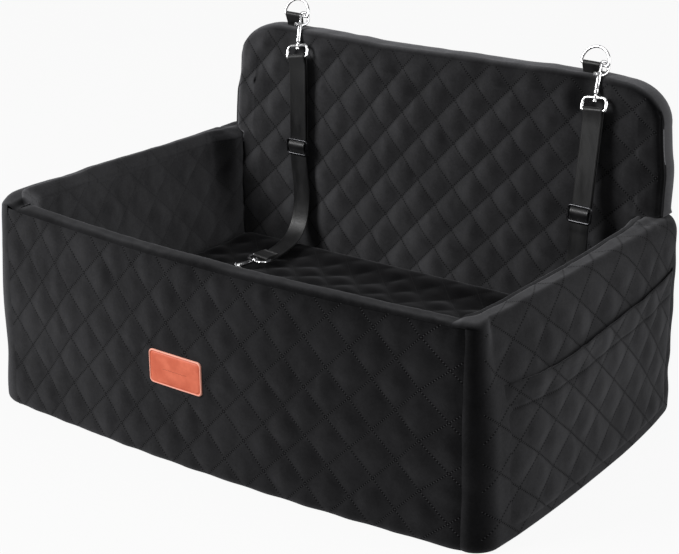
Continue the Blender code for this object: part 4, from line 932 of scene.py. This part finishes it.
def back_face():
    """The back's flat front: points, stitch numbers, distances to the padding's edge, and depths below its top."""
    top_pull = 0.045
    left, right = -follow(back_left, backrest_height), follow(back_right, backrest_height)
    xs = columns_between(left, right, back_crossings, 500)[1]
    turns = backrest_corner_radius * (1 - np.sin(np.radians([12, 24, 36, 48, 58, 66, 73, 79, 84, 87])))
    xs = np.unique(np.round(np.concatenate([xs, right - turns, left + turns, [left, right]]), 6))
    ups = rows_between(inner_foot, backrest_height + 0.006, back_row, back_pitch)
    x, up = grid(xs, ups)
    across = extended(back_crossings, x)
    z = back_row + up * back_pitch
    z = z + corner_shift(x, z)
    side = np.where(x > 0, follow(back_right, z) - right, -follow(back_left, z) - left)
    wide = x + side * blend((abs(x) - 0.20) / 0.10)
    x = mix(np.clip(wide, -between_walls, between_walls), wide, blend((z - back_notch + 0.002) / 0.003))
    room = np.where(x > 0, follow(back_right, z) - x, follow(back_left, z) + x)
    level, top = float(z.max()), back_top(x, room)
    pulled = top - top_pull
    z = np.where(z > pulled, pulled + (z - pulled) * top_pull / (level - pulled), z)
    stitch = stitch_of(across, (z - corner_shift(x, z) - back_row) / back_pitch)
    below = backrest_height + follow(back_rise, x) - z
    slant = np.hypot(np.maximum(backrest_corner_radius - room, 0),
                     np.maximum(backrest_corner_radius * 0.85 - below, 0))
    rounded = np.maximum(backrest_corner_radius * 0.95 - slant, 0) + (slant < 0.02)
    edge = np.clip(np.minimum(np.minimum(room, top - z), rounded), 0, 1)
    edge = np.where(z < back_notch, np.maximum(edge, 0.03), edge)
    return stacked(x, backrest_front, z), stitch, edge, below


def make_backrest():
    """The quilted back with a plain rounded border, a narrow gusset and a flat rear face."""
    depth = rear_depth - 0.0005
    points, stitch, edge, below = back_face()
    x, z = points[..., 0].copy(), points[..., 2].copy()
    lift = puffs(stitch, points, 0.0022, 80, (0.45, 1)) * blend((edge - 0.004) / 0.026)
    lift += 0.0016 * waves(points, 0.085, 81) + 0.0006 * waves(points, 0.022, 82) * (edge < 0.03)
    pressed = sum(gauss(x - place, 0.022) for place in hook_hollows) * blend((z - 0.362) / 0.020)
    lift = lift * (1 - pressed) - np.where(x > 0, 0.0034, 0.0015) * pressed
    roll = 1 - np.clip(edge / border_width, 0, 1)
    crease = gauss(z - side_wall_height, 0.006) * blend((abs(x) - 0.27) / 0.02)
    points[..., 1] += 0.0050 * round_fall(roll) - lift + 0.0008 * crease
    bare = (edge < border_width * 0.62) & ((x > -0.25) | (below < 0.012))
    rim = np.concatenate([points[0], points[1:, -1], points[-1, ::-1][1:]])
    outer = (rim - np.array([0, 0, 0.23]))[:, [0, 2]]
    push = outer / np.maximum(np.linalg.norm(outer, axis=1, keepdims=True), 1e-6)
    upper = blend((rim[:, 2] - back_notch) / 0.01)[:, None]
    strips = [rim]
    for share, swell in ((0.10, 0.0002), (0.35, 0.0006), (0.65, 0.0002), (0.90, -0.0010), (1.0, -0.0030)):
        ring = rim.copy()
        ring[:, 1] = mix(rim[:, 1], depth, share)
        ring[:, [0, 2]] += push * swell * upper
        strips.append(ring)
    gusset = np.stack(strips, 1)
    gusset[:, 1:-1, 2] += (waves(gusset, 0.018, 83) * 0.0008)[:, 1:-1]
    rear = points.copy()
    rear[..., 0] *= 1 - 0.003 / 0.32
    rear[..., 2] -= 0.0022 * np.maximum(rear[..., 2] - back_notch, 0) / 0.16
    rear[..., 1] = depth + 0.0010 * waves(rear, 0.060, 84) * blend(edge / 0.03) - 0.0010
    front_foot, rear_foot = points[:, :1].copy(), rear[:, :1].copy()
    front_foot[..., 1:] = backrest_front + 0.001, 0.0210
    rear_foot[..., 2] = 0.0010
    parts = [grid_part(points, stitch, bare[:-1, :-1].astype(int))]
    for cells, flip in ((gusset, False), (rear, True), (np.concatenate([points[:, :1], front_foot], 1), True),
                        (np.concatenate([rear[:, :1], rear_foot], 1), False)):
        parts.append(grid_part(cells, cells[..., [0, 2]], 1, flip))
    return join_parts("backrest_padding", parts, [back_velvet, back_border])


dress(make_backrest(), "seat", ("backrest_cover", "backrest_foam"))


# Cushion


def floor_plan(across, along, gap):
    """Plan point of the room between the walls: across runs from -1 to 1, along from the front to the back."""
    reach = inner_half_width - gap
    front = front_inner(reach * across, 0.3) + gap
    y = mix(front, backrest_front - gap, along)
    return follow(inner_plan, y) * across - gap * across, y


def cushion_plan(across, along, inset):
    x, y = floor_plan(across, along, 0.0005 + inset)
    return x, y - cushion_rear_inset * blend(along)


def make_cushion():
    """The thick cushion: a quilted top that rolls down to plain sides, drawn in at the zip line."""
    across, along = grid(np.linspace(-1, 1, 221), np.linspace(0, 1, 141))
    x, y = cushion_plan(across, along, 0.0010)
    behind = (1 - along) * cushion_depth
    room = np.minimum((1 - abs(across)) * inner_half_width, along * cushion_depth)
    roll, rear_roll = 1 - np.minimum(room / 0.024, 1), 1 - np.minimum(behind / 0.012, 1)
    crown = cushion_crown * np.cos(across * math.pi / 2) * np.cos((along - 0.5) * math.pi)
    fall = round_fall(roll)
    z = cushion_top - cushion_crown + crown - (cushion_top - cushion_edge_height) * fall
    z = z - 0.0080 * round_fall(rear_roll) * (1 - fall)
    z = z + mix(0.0050, 0.0110, (across + 1) / 2) * blend((along - 0.84) / 0.14) * (1 - fall)
    points = stacked(x, y, z)
    stitch = stacked((x + y - 0.005) / cushion_pitch, (x - y) / cushion_pitch)
    near = np.minimum(room, behind)
    points[..., 2] += (puffs(stitch, points, 0.0026, 90) * blend(near / 0.030)
                       + 0.0028 * waves(points, 0.09, 91) * blend(near / 0.05))
    flat = border_of(stacked(across, along))
    rings = [border_of(points)]
    for inset, height in ((0.0005, 0.088), (0.0016, 0.070), (0.0020, 0.060), (0.0012, 0.048), (0.0008, 0.034),
                          (0.0040, 0.0225), (0.0080, 0.0206)):
        rings.append(stacked(*cushion_plan(flat[:, 0], flat[:, 1], inset), height))
    sides = np.stack(rings, 1)
    return join_parts("seat_cushion_padding", [grid_part(points, stitch, 0),
                                               grid_part(sides, sides[..., [0, 2]], 1, True)],
                      [cushion_velvet, plain_velvet])


dress(make_cushion(), "seat", ("cushion_cover", "cushion_filling"))


# Base lining, label, zip


def make_lining():
    """The woven underside, drawn slightly up between the walls."""
    across, along = grid(np.linspace(-1, 1, 60), np.linspace(0, 1, 40))
    x, y = floor_plan(across, along, 0.0010)
    room = np.minimum((1 - abs(across)) * 0.3, np.minimum(along, 1 - along) * 0.36)
    points = stacked(x, y, 0.0006 + 0.0012 * blend(room / 0.04))
    points[..., 2] += 0.0004 * waves(points, 0.05, 95)
    top = stacked(x, y, 0.0196)
    return join_parts("base_lining", [grid_part(points, points[..., :2], 0, True), grid_part(top, top[..., :2], 0)],
                      [lining])


dress(make_lining(), "seat", ("base_cover", "base_board"))


def rounded_outline(half_width, low, high, bends, steps):
    """(across, up) points round an oblong, from its upper right corner; bends and steps: upper and lower corners."""
    points = []
    for across, up, start in ((1, 1, 0), (-1, 1, 1), (-1, -1, 2), (1, -1, 3)):
        bend, count = (bends[0], steps[0]) if up > 0 else (bends[1], steps[1])
        middle, level = across * (half_width - bend), (high if up > 0 else low) - up * bend
        for k in range(count + 1):
            angle = (start + k / count) * math.pi / 2
            points.append((middle + math.cos(angle) * bend, level + math.sin(angle) * bend))
    return points


def make_label():
    """A bare leather patch with round corners and a pale cut edge, bent to the wall."""
    half_width, half_height, bend = label_size[0] / 2, label_size[1] / 2, 0.0052
    outline = rounded_outline(half_width, -half_height, half_height, (bend, bend), (6, 6))
    dense = []
    for index, start in enumerate(outline):
        end = outline[(index + 1) % len(outline)]
        steps = max(1, int(math.dist(start, end) / 0.005))
        dense += [(mix(start[0], end[0], k / steps), mix(start[1], end[1], k / steps)) for k in range(steps)]
    outline = np.array(dense)
    rings = []
    for inset, rise, rim in (
            (0.0, 0.0, 1), (0.0, 0.0012, 1), (0.0003, 0.0018, 1), (0.0010, 0.0021, 1), (0.0014, 0.0020, 0.9),
            (0.0018, 0.0013, 0), (0.0024, 0.0012, 0), (0.0030, 0.0019, 0), (0.0040, 0.0021, 0), (0.007, 0.0022, 0),
            (0.012, 0.0023, 0), (0.017, 0.0023, 0), (half_height - 0.0001, 0.0023, 0)):
        flat = outline * np.array([(half_width - inset) / half_width, (half_height - inset) / half_height])
        x, z = label_centre[0] + flat[:, 0], label_centre[1] + flat[:, 1]
        y = front_outer(x, z / front_height(x)) - seam_gap - 0.0008 - rise
        rings.append(stacked(x, y, z, rim))
    cells = np.stack(rings, 1)
    cells = np.concatenate([cells, cells[:1]])
    uv = stacked(cells[..., 3], off_stitches)
    return join_parts("label_patch", [grid_part(cells[..., :3], uv, 0, True)], [leather])


dress(make_label(), "seat", ("front_label",))


# Webbing and fittings

webbing_width, webbing_thickness, fold_inset = 0.0250, 0.0015, 0.0006
ring_half_width, ring_wire, ring_bar_depth, ring_lean = 0.0182, 0.0017, 0.2000, math.radians(20)
left_hang, right_hang = (-0.2135, 0.4230, math.radians(-11.5)), (0.2250, 0.4270, math.radians(-5))
tab_width, tab_thickness, tab_base, tab_middle = 0.0236, 0.0012, 0.2030, (-0.0154 + 0.0082) / 2
hook_place, hook_tilt, hook_turn = 0.0131, math.radians(23.5), math.radians(60)
eye_reach, bolt_axis = 0.0536, -0.0051
slider_half_width, slider_half_height = 0.0150, 0.0095
slider_rail, slider_bar = 0.0014, 0.0008
half_layer = slider_bar + touch_gap + webbing_thickness / 2
eye_bar, eye_half_width, eye_wire = -0.0387, 0.0159, 0.0021
left_drop = [(-0.1925, 0.1750, 0.2570), (-0.1915, 0.1757, 0.2300), (-0.1880, 0.1755, 0.2000), (-0.1870, 0.1730, 0.1750),
             (-0.1868, 0.1660, 0.1540), (-0.1865, 0.1520, 0.1395), (-0.1855, 0.1300, 0.1325), (-0.1840, 0.1080, 0.1303)]
right_drop = [(0.2390, 0.1560, 0.2570), (0.2385, 0.1540, 0.2300), (0.2380, 0.1520, 0.2000), (0.2375, 0.1490, 0.1750),
              (0.2370, 0.1430, 0.1540), (0.2360, 0.1320, 0.1395), (0.2350, 0.1160, 0.1325), (0.2340, 0.1000, 0.1303)]
left_end, right_end = Vector((-0.1820, 0.0840, 0.1329)), Vector((0.2330, 0.0780, 0.1329))
lower_turn = math.radians(-8.5)


def smooth_path(controls, steps):
    """Runs a smooth curve through the control points."""
    known = [Vector(point) for point in (controls[0], *controls, controls[-1])]
    path = []
    for before, start, end, after in zip(known, known[1:], known[2:], known[3:]):
        for part in range(steps):
            share = part / steps
            path.append(0.5 * (2 * start + (end - before) * share
                               + (2 * before - 5 * start + 4 * end - after) * share ** 2
                               + (3 * start - before - 3 * end + after) * share ** 3))
    return path + [known[-1]]


def ring_part(rings, closed=False, turn=0, uv=None):
    """Joins rings of points into a mesh part; turn says how far the last ring of a closed row is turned on."""
    count, sides = len(rings), len(rings[0])
    points = np.array([tuple(point) for ring in rings for point in ring])
    faces = []
    for index in range(count if closed else count - 1):
        after = (index + 1) % count
        offset = 0 if after else turn
        for k in range(sides):
            faces.append((index * sides + k, index * sides + (k + 1) % sides,
                          after * sides + (k + 1 + offset) % sides, after * sides + (k + offset) % sides))
    if not closed:
        faces += [tuple(reversed(range(sides))), tuple(range((count - 1) * sides, count * sides))]
    flat = np.zeros((len(points), 2)) if uv is None else np.array(uv)
    return points, faces, flat, [0] * len(faces), no_hems(len(points))


def tube_part(path, radii, sides, closed, matrix):
    """A round wire along a path, as a mesh part."""
    count = len(path)
    rings = []
    side_way = None
    for index, centre in enumerate(path):
        before = path[(index - 1) % count] if closed else path[max(index - 1, 0)]
        after = path[(index + 1) % count] if closed else path[min(index + 1, count - 1)]
        ahead = (after - before).normalized()
        if side_way is None:
            side_way = ahead.orthogonal()
        side_way = (side_way - ahead * side_way.dot(ahead)).normalized()
        other_way = ahead.cross(side_way)
        radius = radii[index] if isinstance(radii, (list, tuple)) else radii
        rings.append([centre + side_way * radius * math.cos(2 * math.pi * k / sides)
                      + other_way * radius * math.sin(2 * math.pi * k / sides) for k in range(sides)])
    turn = min(range(sides), key=lambda k: (rings[0][k] - rings[-1][0]).length) if closed else 0
    return ring_part([[matrix @ point for point in ring] for ring in rings], closed, turn)


def turned_part(profile, sides, shift, matrix):
    """(radius, height) pairs turned about an upright axis, as a mesh part."""
    angles = [2 * math.pi * k / sides for k in range(sides)]
    return ring_part([[matrix @ Vector((shift[0] + radius * math.cos(angle), shift[1] + radius * math.sin(angle),
                                        height)) for angle in angles] for radius, height in profile])


def metal_piece(name, parts, material, body, node):
    made = join_parts(name, parts, [material], weld=0)
    made.data.set_sharp_from_angle(angle=math.radians(38))
    dress(made, body, (node,))
    return made


def webbing_piece(name, part, body, nodes=()):
    made = join_parts(name, [part], [webbing], weld=0)
    dress(made, body, nodes)
    return made


def hook_matrix(place, height, roll):
    return (Matrix.Translation((place + hook_place, ring_bar_depth, height))
            @ Matrix.Rotation(roll, 4, "Y") @ Matrix.Rotation(-hook_tilt, 4, "X")
            @ Matrix.Rotation(hook_turn, 4, "Z"))


def eye_matrix(place, height, roll):
    axis_point = hook_matrix(place, height, roll) @ Vector((bolt_axis, 0, 0))
    return Matrix.Translation(axis_point) @ Matrix.Rotation(roll, 4, "Y") @ Matrix.Rotation(-hook_tilt, 4, "X")


def lower_matrix(end_point, turn):
    flat = Matrix(((1, 0, 0, 0), (0, 0, -1, 0), (0, 1, 0, 0), (0, 0, 0, 1)))
    return (Matrix.Translation(end_point) @ Matrix.Rotation(turn, 4, "Z") @ flat
            @ Matrix.Translation((0, 0, eye_reach)))


def ring_path():
    """The D-ring's wire: half a circle on a straight bar, with small bends between them."""
    bend = 0.0024
    angles = [k / 40 * math.pi for k in range(41)]
    path = [Vector((math.cos(angle), 0, math.sin(angle))) * ring_half_width + Vector((0, 0, bend)) for angle in angles]
    for k in range(1, 6):
        angle = math.pi + k / 6 * math.pi / 2
        path.append(Vector((-ring_half_width + bend + math.cos(angle) * bend, 0, bend + math.sin(angle) * bend)))
    path += [Vector((mix(-1, 1, k / 8) * (ring_half_width - bend), 0, 0)) for k in range(9)]
    for k in range(1, 6):
        angle = -math.pi / 2 + k / 6 * math.pi / 2
        path.append(Vector((ring_half_width - bend + math.cos(angle) * bend, 0, bend + math.sin(angle) * bend)))
    return path


def make_ring(side_name, centre, height):
    matrix = Matrix.Translation((centre, ring_bar_depth, height)) @ Matrix.Rotation(-ring_lean, 4, "X")
    metal_piece(side_name + "_d_ring_wire", [tube_part(ring_path(), ring_wire, 16, True, matrix)], chrome,
                side_name + "_d_ring", side_name + "_d_ring")


def hook_parts(matrix):
    """A snap hook's body with its swivel stud, turned, and its bent hook."""
    profile = [(0.0008, -0.0442), (0.0024, -0.0441), (0.0029, -0.0437), (0.0029, -0.0425), (0.0026, -0.0422),
               (0.0017, -0.0422), (0.0017, -0.0354), (0.0021, -0.0352), (0.0027, -0.0346), (0.0031, -0.0334),
               (0.0031, -0.0300), (0.0029, -0.0294), (0.0031, -0.0288), (0.0031, -0.0094), (0.0027, -0.0086),
               (0.0019, -0.0086), (0.0019, -0.0120)]
    controls = [(-0.0045, -0.0150), (-0.0020, -0.0122), (0.0022, -0.0098), (0.0050, -0.0064), (0.0056, -0.0028),
                (0.0050, 0.0008), (0.0030, 0.0035), (0.0000, 0.0045), (-0.0030, 0.0042), (-0.0050, 0.0022)]
    path = smooth_path([(x, 0, z) for x, z in controls], 5)
    radii = [mix(0.0021, 0.0017, min(index / 14, 1)) for index in range(len(path))]
    return [turned_part(profile, 24, (bolt_axis, 0), matrix), tube_part(path, radii, 14, False, matrix)]


def bolt_parts(matrix):
    """A snap hook's sprung bolt with the stem and knob for the thumb."""
    rod = [(0.0006, -0.0170), (0.0014, -0.0170), (0.0014, 0.0006), (0.0012, 0.0011), (0.0006, 0.0013)]
    stem, knob = ([Vector((bolt_axis - reach, 0, -0.0120)) for reach in reaches]
                  for reaches in ((0.0004, 0.0048), (0.0044, 0.0047, 0.0064, 0.0070, 0.0072)))
    return [turned_part(rod, 20, (bolt_axis, 0), matrix), tube_part(stem, 0.0010, 12, False, matrix),
            tube_part(knob, [0.0023, 0.0026, 0.0026, 0.0022, 0.0012], 20, False, matrix)]


def eye_parts(matrix):
    """A swivel eye: a loop of wire for the webbing, with a turned boss on its upper bar."""
    outline = rounded_outline(eye_half_width, -eye_reach, eye_bar, (0.0066, 0.0024), (8, 6))
    boss = [(0.0020, eye_bar - 0.0022), (0.0034, eye_bar - 0.0021), (0.0037, eye_bar - 0.0014),
            (0.0037, eye_bar + 0.0014), (0.0034, eye_bar + 0.0021), (0.0020, eye_bar + 0.0022)]
    return [tube_part([Vector((across, 0, up)) for across, up in outline], eye_wire, 16, True, matrix),
            turned_part(boss, 24, (0, 0), matrix)]


def strap_lines(upper, drop):
    """The upper eye's lower bar, the slide's middle, the way from one to the other, and the way to the back."""
    bar = upper @ Vector((0, 0, -eye_reach))
    line = (Vector(drop[0]) - bar).normalized()
    back = line.cross(Vector((1, 0, 0))).normalized()
    if back.y < 0:
        back = -back
    slide = Vector(drop[0]) + back * half_layer
    return bar, slide, (slide - bar).normalized(), back


def slider_parts(matrix):
    """A flat tri-glide: an oblong frame of bevelled rails, and the bar that the webbing folds over."""
    front = -half_layer - webbing_thickness / 2 - touch_gap - slider_rail
    corner, step_in = 0.0030, 0.0008
    outline = rounded_outline(slider_half_width, -slider_half_height, slider_half_height, (corner, corner), (5, 5))
    bar = [(-slider_half_width, front), (-slider_half_width, front * 0.5), (-slider_half_width + step_in, 0),
           (slider_half_width - step_in, 0), (slider_half_width, front * 0.5), (slider_half_width, front)]
    return [tube_part([Vector((across, front, up)) for across, up in outline], slider_rail * 1.15, 14, True, matrix),
            tube_part([Vector((across, out, 0)) for across, out in bar], slider_bar, 10, False, matrix)]


def fold_path():
    """The webbing's fold over a slide's bar, bulging out between the rails, in the slide's own frame."""
    places = [(-0.0034, 0.0077), (-0.0040, 0.0070), (-0.0054, 0.0055), (-0.0064, 0.0035), (-0.0066, 0.0010),
              (-0.0060, -0.0015), (-0.0048, -0.0040), (-0.0038, -0.0060), (-0.0034, -0.0072)]
    return smooth_path([Vector((0, out, up)) for out, up in places], 3)


def ribbon_part(path, ways, width, thickness):
    """Flat webbing with rounded, slightly thicker edges, ribs and UVs in metres along and across."""
    half = [(-0.5, 0.30), (-0.49, 0.50), (-0.44, 0.54), (-0.40, 0.42), (-0.30, 0.47), (-0.15, 0.50), (0, 0.50)]
    upper = half + [(-across, out) for across, out in reversed(half[:-1])]
    profile = upper + [(across, -out) for across, out in reversed(upper)]
    rings, uvs = [], []
    run = 0.0
    for index, centre in enumerate(path):
        ahead = (path[min(index + 1, len(path) - 1)] - path[max(index - 1, 0)]).normalized()
        across = (ways[index] - ahead * ways[index].dot(ahead)).normalized()
        out = ahead.cross(across)
        if index:
            run += (centre - path[index - 1]).length
        rings.append([centre + across * side * width + out * face * thickness for side, face in profile])
        uvs += [(run, side * width) for side, _ in profile]
    return ring_part(rings, uv=uvs)


def make_ring_tab(side_name, centre, height):
    """Webbing folded over the ring's bar and sewn into the top of the back."""
    half_tab = tab_thickness / 2
    bend, half_gap = ring_wire + touch_gap + half_tab, half_tab + touch_gap / 2
    foot = backrest_height - 0.0015
    bar = Vector((0, ring_bar_depth, height))
    shoulder = foot + (height - foot) / 2 * 0.6
    path = [Vector((0, tab_base - half_gap, foot)), Vector((0, tab_base - half_gap * 2, shoulder))]
    for k in range(17):
        angle = math.pi + math.radians(25) - k / 16 * (math.pi + math.radians(40))
        path.append(bar + Vector((0, math.cos(angle), math.sin(angle))) * bend)
    path += [Vector((0, tab_base + half_gap * 1.5, shoulder)), Vector((0, tab_base + half_gap, foot))]
    path = [point + Vector((centre + tab_middle, 0, 0)) for point in path]
    webbing_piece(side_name + "_ring_loop", ribbon_part(path, [Vector((1, 0, 0))] * len(path), tab_width,
                                                        tab_thickness), "seat", (side_name + "_ring_tab",))


def strap_route(upper, lower, drop):
    """The front layer from over the upper eye to the folded lower end, and the hidden layer behind it."""
    bend = eye_wire + touch_gap + webbing_thickness / 2
    top_way = (upper.to_3x3() @ Vector((1, 0, 0))).normalized()
    low_way = (lower.to_3x3() @ Vector((1, 0, 0))).normalized()
    level_way = Vector((1, 0, 0))
    bar, slide, line, back = strap_lines(upper, drop)
    down = (line - top_way * line.dot(top_way)).normalized()
    behind = (back - top_way * back.dot(top_way) - down * back.dot(down)).normalized()
    narrow = bar + down * 0.0100
    tail = slide + line * 0.0110 + back * half_layer
    rear, rear_ways = [], []
    for k in range(13):
        share = k / 12
        rear.append(tail.lerp(narrow + behind * half_layer, share))
        rear_ways.append(level_way.lerp(top_way, float(blend(share * 2 - 1))))
    path, ways = [], []
    for k in range(17):
        angle = math.radians(-15) + k / 16 * math.radians(210)
        path.append(bar + (behind * math.cos(angle) - down * math.sin(angle)) * bend)
        ways.append(top_way)
    rear += path[:4]
    rear_ways += ways[:4]
    low_bar = lower @ Vector((0, 0, -eye_reach))
    ahead = (lower.to_3x3() @ Vector((0, 0, 1))).normalized()
    up = Vector((0, 0, 1))
    curve = smooth_path([narrow - behind * half_layer, *drop, low_bar - ahead * 0.0060 - up * bend * 0.98], 10)
    for index, point in enumerate(curve):
        share = index / (len(curve) - 1)
        path.append(point)
        ways.append(top_way.lerp(level_way, float(blend(share * 6))) if share < 0.5
                    else level_way.lerp(low_way, float(blend(share * 2 - 1))))
    for k in range(17):
        angle = k / 16 * math.pi
        path.append(low_bar + (ahead * math.sin(angle) - up * math.cos(angle)) * bend)
        ways.append(low_way)
    for reach in (0.0030, 0.0060, 0.0090, 0.0120, 0.0170):
        path.append(low_bar - ahead * reach + up * bend)
        ways.append(low_way)
    return path[3:], ways[3:], rear, rear_ways


def make_tether(side_name, hang, drop, end_point):
    """A whole tether: hooks, bolts and eyes at both ends, the slide and the webbing."""
    side = side_name + "_"
    upper_hook, upper_eye = hook_matrix(*hang), eye_matrix(*hang)
    lower = lower_matrix(end_point, lower_turn)
    lower_hook = lower @ Matrix.Translation((-bolt_axis, 0, 0))
    metal = [metal_piece(side + name, parts, chrome, side + body, side + node)
             for name, parts, body, node in (
                 ("upper_hook_body", hook_parts(upper_hook), "upper_hook", "upper_hook"),
                 ("upper_bolt_rod", bolt_parts(upper_hook), "upper_bolt", "upper_bolt"),
                 ("upper_eye_loop", eye_parts(upper_eye), "strap", "upper_eye"),
                 ("lower_eye_loop", eye_parts(lower), "lower_eye", "lower_eye"),
                 ("lower_hook_body", hook_parts(lower_hook), "lower_hook", "lower_hook"),
                 ("lower_bolt_rod", bolt_parts(lower_hook), "lower_bolt", "lower_bolt"))]
    _, middle, line, back = strap_lines(upper_eye, drop)
    back = (back - line * back.dot(line)).normalized()
    across = line.cross(back).normalized()
    if across.x < 0:
        across = -across
    slide = Matrix.Translation(middle) @ Matrix((across, back, -line)).transposed().to_4x4()
    slider = metal_piece(side + "slide_buckle", slider_parts(slide), dark_metal, side + "slider", side + "slider")
    path, ways, rear, rear_ways = strap_route(upper_eye, lower, drop)
    strap = webbing_piece(side + "tether_webbing", ribbon_part(path, ways, webbing_width, webbing_thickness),
                          side + "strap", (side + "strap",))
    layer = webbing_piece(side + "tether_rear_layer",
                          ribbon_part(rear, rear_ways, webbing_width, webbing_thickness), side + "strap")
    fold = [slide @ point for point in fold_path()]
    over = webbing_piece(side + "slide_fold",
                         ribbon_part(fold, [across] * len(fold), webbing_width - fold_inset, webbing_thickness),
                         side + "slider")


for side_name, hang, drop, end_point in (("left", left_hang, left_drop, left_end),
                                         ("right", right_hang, right_drop, right_end)):
    make_ring_tab(side_name, hang[0], hang[1])
    make_ring(side_name, hang[0], hang[1])
    make_tether(side_name, hang, drop, end_point)

for name, material in (("cushion_zip_tape", webbing), ("cushion_zip_pull", zip_metal)):
    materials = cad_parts[name].data.materials
    materials.clear()
    materials.append(material)


# Stage and light

floor_white, room_light = 0.93, 0.28


def make_floor():
    """A grey floor that the camera sees as nearly white."""
    mesh = bpy.data.meshes.new("floor")
    mesh.from_pydata([(-9, -9, 0), (9, -9, 0), (9, 9, 0), (-9, 9, 0)], [], [(0, 1, 2, 3)])
    floor = bpy.data.objects.new("floor", mesh)
    scene.collection.objects.link(floor)
    material, tree, shader = new_material("floor_white", (0.42, 0.42, 0.42), 0.9)
    glow = tree.nodes.new("ShaderNodeEmission")
    glow.inputs["Color"].default_value = (1, 1, 1, 1)
    path = tree.nodes.new("ShaderNodeLightPath")
    mix_shaders(tree, times(tree, path.outputs["Is Camera Ray"], floor_white), shader, glow, "Material Output")
    mesh.materials.append(material)


def make_world():
    """Soft grey light from all round, white to the camera."""
    world = bpy.data.worlds.new("studio")
    scene.world = world
    world.use_nodes = True
    tree = world.node_tree
    soft = tree.nodes["Background"]
    soft.inputs["Color"].default_value = (1, 1, 1, 1)
    soft.inputs["Strength"].default_value = room_light
    white = tree.nodes.new("ShaderNodeBackground")
    white.inputs["Color"].default_value = (1, 1, 1, 1)
    white.inputs["Strength"].default_value = 1.0
    path = tree.nodes.new("ShaderNodeLightPath")
    seen = math_node(tree, "MAXIMUM", path.outputs["Is Camera Ray"], path.outputs["Is Transmission Ray"])
    mix_shaders(tree, seen, soft, white, "World Output")


def make_lamp(name, place, size, power):
    """A square lamp that looks at the seat's middle."""
    data = bpy.data.lights.new(name, "AREA")
    data.shape = "SQUARE"
    data.size = size
    data.energy = power
    lamp = bpy.data.objects.new(name, data)
    scene.collection.objects.link(lamp)
    lamp.location = place
    lamp.rotation_euler = (Vector((0, 0, 0.15)) - Vector(place)).to_track_quat("-Z", "Y").to_euler()


make_floor()
make_world()
make_lamp("key", (-1.6, -2.5, 1.9), 1.5, 122)
make_lamp("right_fill", (2.6, 0.3, 1.5), 1.6, 36)
make_lamp("top", (0.2, 0.2, 3.0), 1.8, 10)
